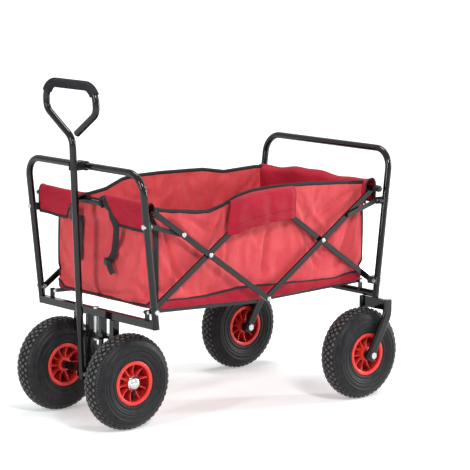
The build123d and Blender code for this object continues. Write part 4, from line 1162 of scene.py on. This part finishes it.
def make_floor(plan, rows):
    """The floor hangs below the walls' seam, goes in over the rails and lies on stiff boards."""
    seam = rows[0]
    corner = np.array([(x, y) for x, y, _ in plan])
    # inwards, towards the floor's middle line
    way = -corner
    way[:, 0] += np.clip(corner[:, 0], REAR_X + 45, FRONT_X - 45)
    way /= np.linalg.norm(way, axis=1, keepdims=True)
    bottom = np.minimum(rail_top(seam[:, 0]) + 1.0, seam[:, 2] - 4)
    ripple = 1.2 * np.sin(seam[:, 0] / 31.0 + seam[:, 1] / 23.0)
    ring = []
    for drop, inset in UPTURN:
        line = seam.copy()
        line[:, :2] += way * inset
        line[:, 2] = seam[:, 2] + drop * (bottom - seam[:, 2]) + ripple * min(drop, 0.5)
        ring.append(line)
    grid = np.array(ring)
    closed = np.concatenate([grid, grid[:, :1]], axis=1)
    # the upturned edge takes the darker cloth: painted shade under the seam
    upturn = cloth_sheet("floor_upturn", closed, PAINTED_SHADE_CLOTH)
    declare_sheet(closed, "front_top_rod")
    rim = grid[-1]
    half = np.abs(rim[:, 1]).max() + BOARD_LAP
    xs = np.linspace(rim[:, 0].min() - BOARD_LAP, rim[:, 0].max() + BOARD_LAP, 90)
    ys = np.linspace(-half, half, 40)
    sheet = np.zeros((len(ys), len(xs), 3))
    sheet[:, :, 0] = xs[None, :]
    sheet[:, :, 1] = ys[:, None]
    # four boards, with a fold between each two
    board_folds = 1.4 * np.abs(np.sin((xs - xs[0]) / (xs[-1] - xs[0]) * 4 * pi))
    sag = 0.6 * np.sin(ys / 40)
    sheet[:, :, 2] = rail_top(xs)[None, :] + BOARD_RISE + sag[:, None] + board_folds[None, :]
    boards = cloth_sheet("floor_boards", sheet, RED_CLOTH, wall=BOARD_THICK, rounds=0)
    belongs(boards, "basket", "red_fabric", "floor_panel")
    belongs(upturn, "basket", "sleeve_fabric")
    folds_up(boards, upturn)


# ---------------------------------------------------------------- sleeves and flaps
def swept(profile, places, shape):
    """A sheet swept along a line: the profile is across it, and shape moves each of its points."""
    last = len(profile) - 1
    return np.array([[shape(i / last, p, place) for place in places] for i, p in enumerate(profile)])


def sew(names, grid, parts, trim_slot, body, held, on, *nodes):
    """A sheet of the red cloth darkened with painted shade, and its trim, which ride on one body."""
    sheet = cloth_sheet(names[0], grid, PAINTED_SHADE_CLOTH)
    trim = join(names[1], parts)
    belongs(sheet, body, "sleeve_fabric", *nodes)
    belongs(trim, body, trim_slot)
    declare_sheet(grid, on)
    return sheet, trim


def make_sleeve(side):
    """The cover sewn over the scissor's top joint, open below for the bars."""
    name, top_edge = ("left", LEFT_TOP) if side > 0 else ("right", RIGHT_TOP)
    middle, half, flare_half, crest = -20, 98, 14, 617.0
    held_edge = (-125, 85)
    profile = smooth_line(
        [
            (219.5, 610), (224, 614.5), (234, 616), (247, 613), (256, 606), (260.5, 596),
            (261.5, 574), (260, 531),
        ],
        steps=4,
    )

    def shape(share, point, place):
        y, z = point
        # it widens downwards, and its top reaches further back along the edge
        flare = float(smoothstep(0.25, 1.0, share))
        x = middle + place * (half + flare_half * flare)
        x += (8 * flare if place > 0 else -4 * flare) * abs(place)
        x -= 28 * (1 - flare) * place * place * (place < 0)
        # it follows the wall's top edge, and its hem slopes down to the front
        drop = (between(top_edge, np.clip(x, *held_edge)) - crest) * (1 - 0.35 * share)
        hem = -4.5 * flare * place
        # waves, the place where the joint's bars press, and the ends tucked in to the wall
        wave = 2.2 * sin(place * 5.2 + 1.3) * flare + 1.6 * sin(place * 11.0) * share
        press = -3.0 * np.exp(-(((place + 0.15) / 0.12) ** 2)) * float(smoothstep(0.3, 0.6, share))
        end = float(smoothstep(0.8, 1.0, abs(place)))
        tuck = -15 * end * float(smoothstep(0.1, 0.5, share))
        return x, side * (y + wave + press + tuck), z + drop + hem

    grid = swept(profile, np.linspace(-1, 1, 34), shape)
    if side < 0:
        grid = grid[:, ::-1]
    face = (0, side, 0)
    parts = [
        # the sleeve's hems take the darker cloth too, painted shade
        strip_along(grid[-1] + (0, 0, 0.8), face, 6.0, 2.6, PAINTED_SHADE_CLOTH),
        stitches_along(grid[-3] + (0, side * 1.1, 0)),
    ]
    for end in (0, -1):
        edge = grid[3:, end] + (0, side * 0.4, 0)
        parts.append(strip_along(edge, face, 4.0, 2.4, PAINTED_SHADE_CLOTH))
    names = (f"sleeve_{name}_cloth", f"sleeve_{name}_hems")
    on = "top_joint_rivets"
    folds_up(
        *sew(names, grid, parts, "sleeve_fabric", "basket", "stretched", on, f"sleeve_{name}")
    )


# each half's ends along the rod, and where its slanting inner edge ends below
FLAP_SPANS = {"right": (-241.0, -38.0, -112.0), "left": (41.0, 236.0, 96.0)}


def make_flap(name):
    """One half of the flap: over the front rod and down before it, with a slanting inner edge."""
    low, high, slant = FLAP_SPANS[name]
    profile = smooth_line(
        [
            (346, 572), (347, 594), (350.5, 607), (358, 613.5), (366.5, 609), (370.5, 596),
            (371.5, 570), (370, 541),
        ],
        steps=4,
    )

    def shape(share, point, place):
        x, z = point
        down = float(smoothstep(0.45, 1.0, share))
        start, end = low, high
        if name == "left":
            start += (slant - low) * down
        else:
            end += (slant - high) * down
        y = start + (end - start) * place
        # waves that deepen downwards, and how the cloth rides up on the rod
        wave = 2.4 * sin(y / 27.0) * down + 1.3 * sin(y / 13.0 + 1)
        lift = 2.2 * sin(y / 60.0 + 0.6) * float(smoothstep(0.2, 0.5, share)) + 0.012 * abs(y)
        return x + wave * (0.3 + 0.7 * down), y, z + lift

    grid = swept(profile, np.linspace(0, 1, 30), shape)
    if name == "left":
        grid = grid[:, ::-1]
    parts = [
        strip_along(grid[-1], (1, 0, 0), 9.0, 4.4), stitches_along(grid[-1] + (2.6, 0, 3.0)),
    ]
    for end in (0, -1):
        parts.append(strip_along(grid[2:, end], (0.9, 0.1, 0.4), 6.5, 4.0))
    names = (f"flap_{name}_cloth", f"flap_{name}_binding")
    sew(names, grid, parts, "black_plastic", "basket", "hung", "front_top_rod")


def make_rear_flap():
    """The cloth that laps over the rear rod, with a taped end at either side and a hanging tape."""
    inside, outside = REAR_X + 9, REAR_ROD[0] - 12
    half, tape_place = 236, 226
    profile = smooth_line(
        [
            (inside, 548), (inside - 1, 585), (inside - 5, 607), (REAR_ROD[0] + 2, 617),
            (outside + 2, 610), (outside, 590), (outside + 1, 552),
        ],
        steps=5,
    )

    def shape(share, point, place):
        x, z = point
        y = half * place
        # the line over the rod rises and falls, and both sides hang in slack waves
        crest = 5.0 * sin(y / 52 + 2.2) + 2.0 * sin(y / 19)
        slack = 2.0 * sin(y / 33 + 4 * share) + 1.1 * sin(y / 14 + 9 * share)
        return x + slack * abs(2 * share - 1), y, z + crest * (1 - abs(2 * share - 1))

    grid = swept(profile, np.linspace(-1, 1, 64), shape)
    parts = [strip_along(grid[:, end], (0, 1, 0), 5.0, 3.6) for end in (0, -1)]
    parts.append(strip_along(grid[-1], (1, 0, 0), 6.0, 3.6))
    for side in (1, -1):
        tape = [(outside - 1.5, side * tape_place, z) for z in np.linspace(602, 545, 10)]
        parts.append(strip_along(tape, (1, 0, 0), 15.0, 2.2))
    names = ("rear_flap_cloth", "rear_flap_binding")
    sew(names, grid, parts, "black_plastic", "rear_rod", "hung", "rear_top_rod")


# ---------------------------------------------------------------- straps
def make_straps():
    """Webbing on the front wall: a tie that hangs from the flap, its loose end and a strap."""
    tie = [
        (372, 84, 586), (375, 96, 562), (376, 112, 540), (372, 106, 512), (364, 92, 486),
        (357, 76, 462), (355, 58, 444), (356, 48, 436),
    ]
    loose = [(356, 50, 438), (361, 62, 432), (364, 72, 420), (360, 78, 408)]
    heights = np.linspace(545, 424, 16)
    flat = [(348.5 + 0.4 * sin(z / 20), -84 + 0.03 * (z - 430), z) for z in heights]
    parts = [
        strip_along(smooth_line(tie, 6), (0.8, 0.6, 0), 17.0, 2.4),
        strip_along(smooth_line(loose, 6), (0.8, 0.6, 0), 16.0, 2.2),
        strip_along(flat, (1, 0, 0), 20.0, 2.2),
    ]
    straps = join("front_straps", parts)
    belongs(straps, "basket", "black_plastic")
    folds_up(straps)


def make_buckles():
    """A side-release buckle on the strap and a small slider where the tie ends."""
    middle_y, middle_z = -74, 556
    shell = [
        (-14, -19), (14, -19), (15, -8), (12, 2), (15, 10),
        (13, 20), (-13, 20), (-15, 10), (-12, 2), (-15, -8),
    ]
    # outline, inner and outer face, and the width of the rounded edges
    blocks = [([(middle_y + a, middle_z + b) for a, b in shell], 372, 381, 2.0)]
    for low in (541, 571):
        bar = [(-87, low), (-61, low), (-61, low + 4), (-87, low + 4)]
        blocks.append((bar, 380, 383.5, 1.0))
    blocks.append(([(34, 428), (62, 422), (66, 442), (38, 448)], 351, 361, 2.5))
    parts = []
    for outline, inner, outer, edge in blocks:
        parts.append(bevelled(prism(outline, inner, outer, BLACK_PLASTIC), edge))
    belongs(join("front_buckles", parts), "basket", "black_plastic")


def make_knot():
    """The tie's knot on the bare stretch of the rod."""
    turns, count, points = [], 3, 90
    for k in range(points):
        t = k / (points - 1)
        angle = 2 * pi * count * t
        radius = 8.6 + 1.5 * sin(4 * pi * t)
        x, z = FRONT_ROD[0] + radius * cos(angle), FRONT_ROD[1] + radius * sin(angle)
        turns.append((x, 22 + 17 * t + 3 * sin(5 * angle / 3), z))
    bow = [
        (356, 24, 602), (362, 30, 607), (366, 38, 604), (360, 42, 600), (352, 36, 605),
        (354, 26, 609), (362, 22, 606),
    ]
    tail = [(362, 40, 604), (371, 52, 600), (374, 66, 590), (374, 84, 580)]
    parts = [
        strip_along(turns, (0, 1, 0), 4.0, 5.5),
        strip_along(smooth_line(bow, 6), (0, 0, 1), 7.0, 6.0),
        strip_along(smooth_line(tail, 6), (1, 0, 0.2), 11.0, 2.4),
    ]
    belongs(join("rod_tie", parts), "basket", "black_plastic")


# ---------------------------------------------------------------- caps and rivets
def make_rod_caps():
    """Ribbed plastic caps on the rear rod's ends."""
    profile = [
        (0, 0), (0, 8.4), (1.2, 9.3), (3, 9.3), (3.8, 8.6), (5.2, 8.6), (6, 9.3), (9, 9.3),
        (9.8, 8.6), (11.2, 8.6), (12, 9.3), (17, 9.3), (20, 8.2), (21.6, 5), (22, 0),
    ]
    foot = 249.5
    caps = []
    for side in (1, -1):
        cap = lathe("cap", profile, BLACK_PLASTIC, segments=40, closed=False)
        if side < 0:
            mirrored(cap)
        caps.append(moved(cap, (REAR_ROD[0], side * foot, REAR_ROD[1])))
    belongs(join("rear_rod_caps", caps), "rear_rod", "black_plastic")


# each body's rivets, and how far out their heads lie on either side
RIVETS = {
    "front_rod_bars": ((LOW_JOINT, FRONT_CROSS, FRONT_TIE_PIN), 254.0),
    "rear_rod_bars": ((REAR_CROSS,), 245.5),
}


def make_rivet_heads():
    """Domed heads over the flat ones of the bars' rivets."""
    for body, (rivets, face) in RIVETS.items():
        sides = [side for _ in rivets for side in (1, -1)]
        places = [(x, side * face, z) for x, z in rivets for side in (1, -1)]
        seeds = with_vectors(
            mesh_object(f"{body}_seeds", places),
            outward=[(0.0, side, 0.0) for side in sides],
            around=[(1.0, 0.0, 0.0)] * len(sides),
        )
        heads = run_tree(seeds, DOMES, Head_Radius=6.3 * MM, Dome_Share=0.42, Material=ZINC)
        heads.name = f"{body}_rivet_heads"
        belongs(heads, body, "zinc")


# ---------------------------------------------------------------- finishes of the solids
FINISHES = {
    "black_frame": GLOSS_BLACK, "zinc": ZINC, "cap_chrome": BRIGHT, "red_rim": RIM_RED,
    "tyre_rubber": TYRE, "red_fabric": RED_CLOTH, "sleeve_fabric": PAINTED_SHADE_CLOTH, "foam": FOAM,
    "black_plastic": BLACK_PLASTIC,
}
SATIN_NODES = [f"{end}_{kind}" for end in ("front", "rear") for kind in ("brackets", "ties", "rails")]


def dress_solids():
    """Each solid keeps its shape and takes the finish of its material slot."""
    slot_of = {part["node"]: part["material_slot"] for part in frame["record"]["subparts"]}
    for name, node in frame["nodes"].items():
        finish = SATIN_BLACK if name in SATIN_NODES else FINISHES[slot_of[name]]
        node.data.materials.clear()
        node.data.materials.append(finish)


# ---------------------------------------------------------------- stage, light and camera
# lengths here are in metres
CAMERA_AZIMUTH = 139.52
CAMERA_ELEVATION = 8.751
CAMERA_ROLL = 0.395
CAMERA_DISTANCE = 6.3122
CAMERA_FIELD = 12.05
LOOK_AT = Vector((-0.14097, -0.00989, 0.45475))
WORLD_LEVEL = 0.26
# the floor's own light near the cart, and the distances between which it rises to full white
FLOOR_LIFT = 0.34
LIFT_FROM = 0.75
LIFT_TO = 2.2
FLOOR_HALF = 60.0
LAMPS_AIM = Vector((0.0, 0.0, 0.45))
# name, place, width and height, power
LAMPS = (
    ("key", (1.2, 4.2, 3.6), (1.0, 1.1), 165),
    ("front_strip", (5.0, 1.2, 1.9), (0.4, 2.4), 130),
    ("side_strip", (-4.4, 2.2, 1.5), (0.3, 2.4), 160),
    ("top", (-0.4, -0.4, 4.0), (1.6, 1.2), 75),
)


def seen_directly(build):
    """1 for what the camera sees straight, in a reflection or through glass, and 0 for lighting."""
    path = build.node("ShaderNodeLightPath").outputs
    total = path["Is Camera Ray"]
    for ray in ("Is Glossy Ray", "Is Transmission Ray"):
        total = build.math("MAXIMUM", total, path[ray])
    return total


def make_floor_stage():
    """A wide pale floor, which fades to white away from the cart and keeps its soft shadow."""
    size = FLOOR_HALF / MM
    corners = [(-size, -size, 0), (size, -size, 0), (size, size, 0), (-size, size, 0)]
    pale = Finish(
        "stage_floor",
        Base_Color=(0.84, 0.88, 0.88, 1),
        Roughness=0.9,
        Specular_IOR_Level=0.1,
        Emission_Color=(1, 1, 1, 1),
    )
    away = pale.node("ShaderNodeVectorMath", {"operation": "LENGTH"}, n0=pale.place)
    fade = pale.out(
        "ShaderNodeMapRange",
        Value=away.outputs["Value"],
        From_Min=LIFT_FROM,
        From_Max=LIFT_TO,
        To_Min=FLOOR_LIFT,
        To_Max=1.0,
    )
    pale.feed(Emission_Strength=pale.math("MULTIPLY", seen_directly(pale), fade))
    mesh_object("stage_floor", corners, [(0, 1, 2, 3)], pale.material, smooth=False)


def make_world():
    """A white world, which lights the cart less than it shows."""
    world = bpy.data.worlds.new("studio")
    bpy.context.scene.world = world
    world.use_nodes = True
    build = Nodes(world.node_tree)
    back = world.node_tree.nodes["Background"]
    back.inputs["Color"].default_value = (1, 1, 1, 1)
    seen = seen_directly(build)
    level = build.out("ShaderNodeMapRange", Value=seen, To_Min=WORLD_LEVEL, To_Max=1.0)
    world.node_tree.links.new(level, back.inputs["Strength"])


def make_lights():
    """Soft lamps round the cart, all aimed at its middle."""
    for name, place, size, power in LAMPS:
        light = bpy.data.lights.new(name, "AREA")
        light.shape = "RECTANGLE"
        light.size, light.size_y = size
        light.energy = power
        lamp = link(bpy.data.objects.new(name, light))
        lamp.location = place
        lamp.rotation_mode = "QUATERNION"
        lamp.rotation_quaternion = (LAMPS_AIM - Vector(place)).to_track_quat("-Z", "Y")


def make_camera():
    """The view, from in front and to the cart's left."""
    a, e = radians(CAMERA_AZIMUTH), radians(CAMERA_ELEVATION)
    back = Vector((sin(a) * cos(e), -cos(a) * cos(e), sin(e)))
    data = bpy.data.cameras.new("camera")
    data.sensor_width = 36.0
    data.angle = radians(CAMERA_FIELD)
    data.clip_end = 200.0
    camera = link(bpy.data.objects.new("camera", data))
    camera.rotation_mode = "QUATERNION"
    camera.location = LOOK_AT + back * CAMERA_DISTANCE
    level = (-back).to_track_quat("-Z", "Y")
    camera.rotation_quaternion = level @ Quaternion((0, 0, 1), radians(CAMERA_ROLL))
    bpy.context.scene.camera = camera


make_wheels()
make_basket()
for cart_side in (1, -1):
    make_sleeve(cart_side)
for flap_half in FLAP_SPANS:
    make_flap(flap_half)
make_straps()
make_buckles()
make_knot()
make_rear_flap()
make_rod_caps()
make_rivet_heads()
dress_solids()

make_floor_stage()
make_world()
make_lights()
make_camera()
bpy.context.scene.view_settings.view_transform = "Standard"

bpy.context.view_layer.update()
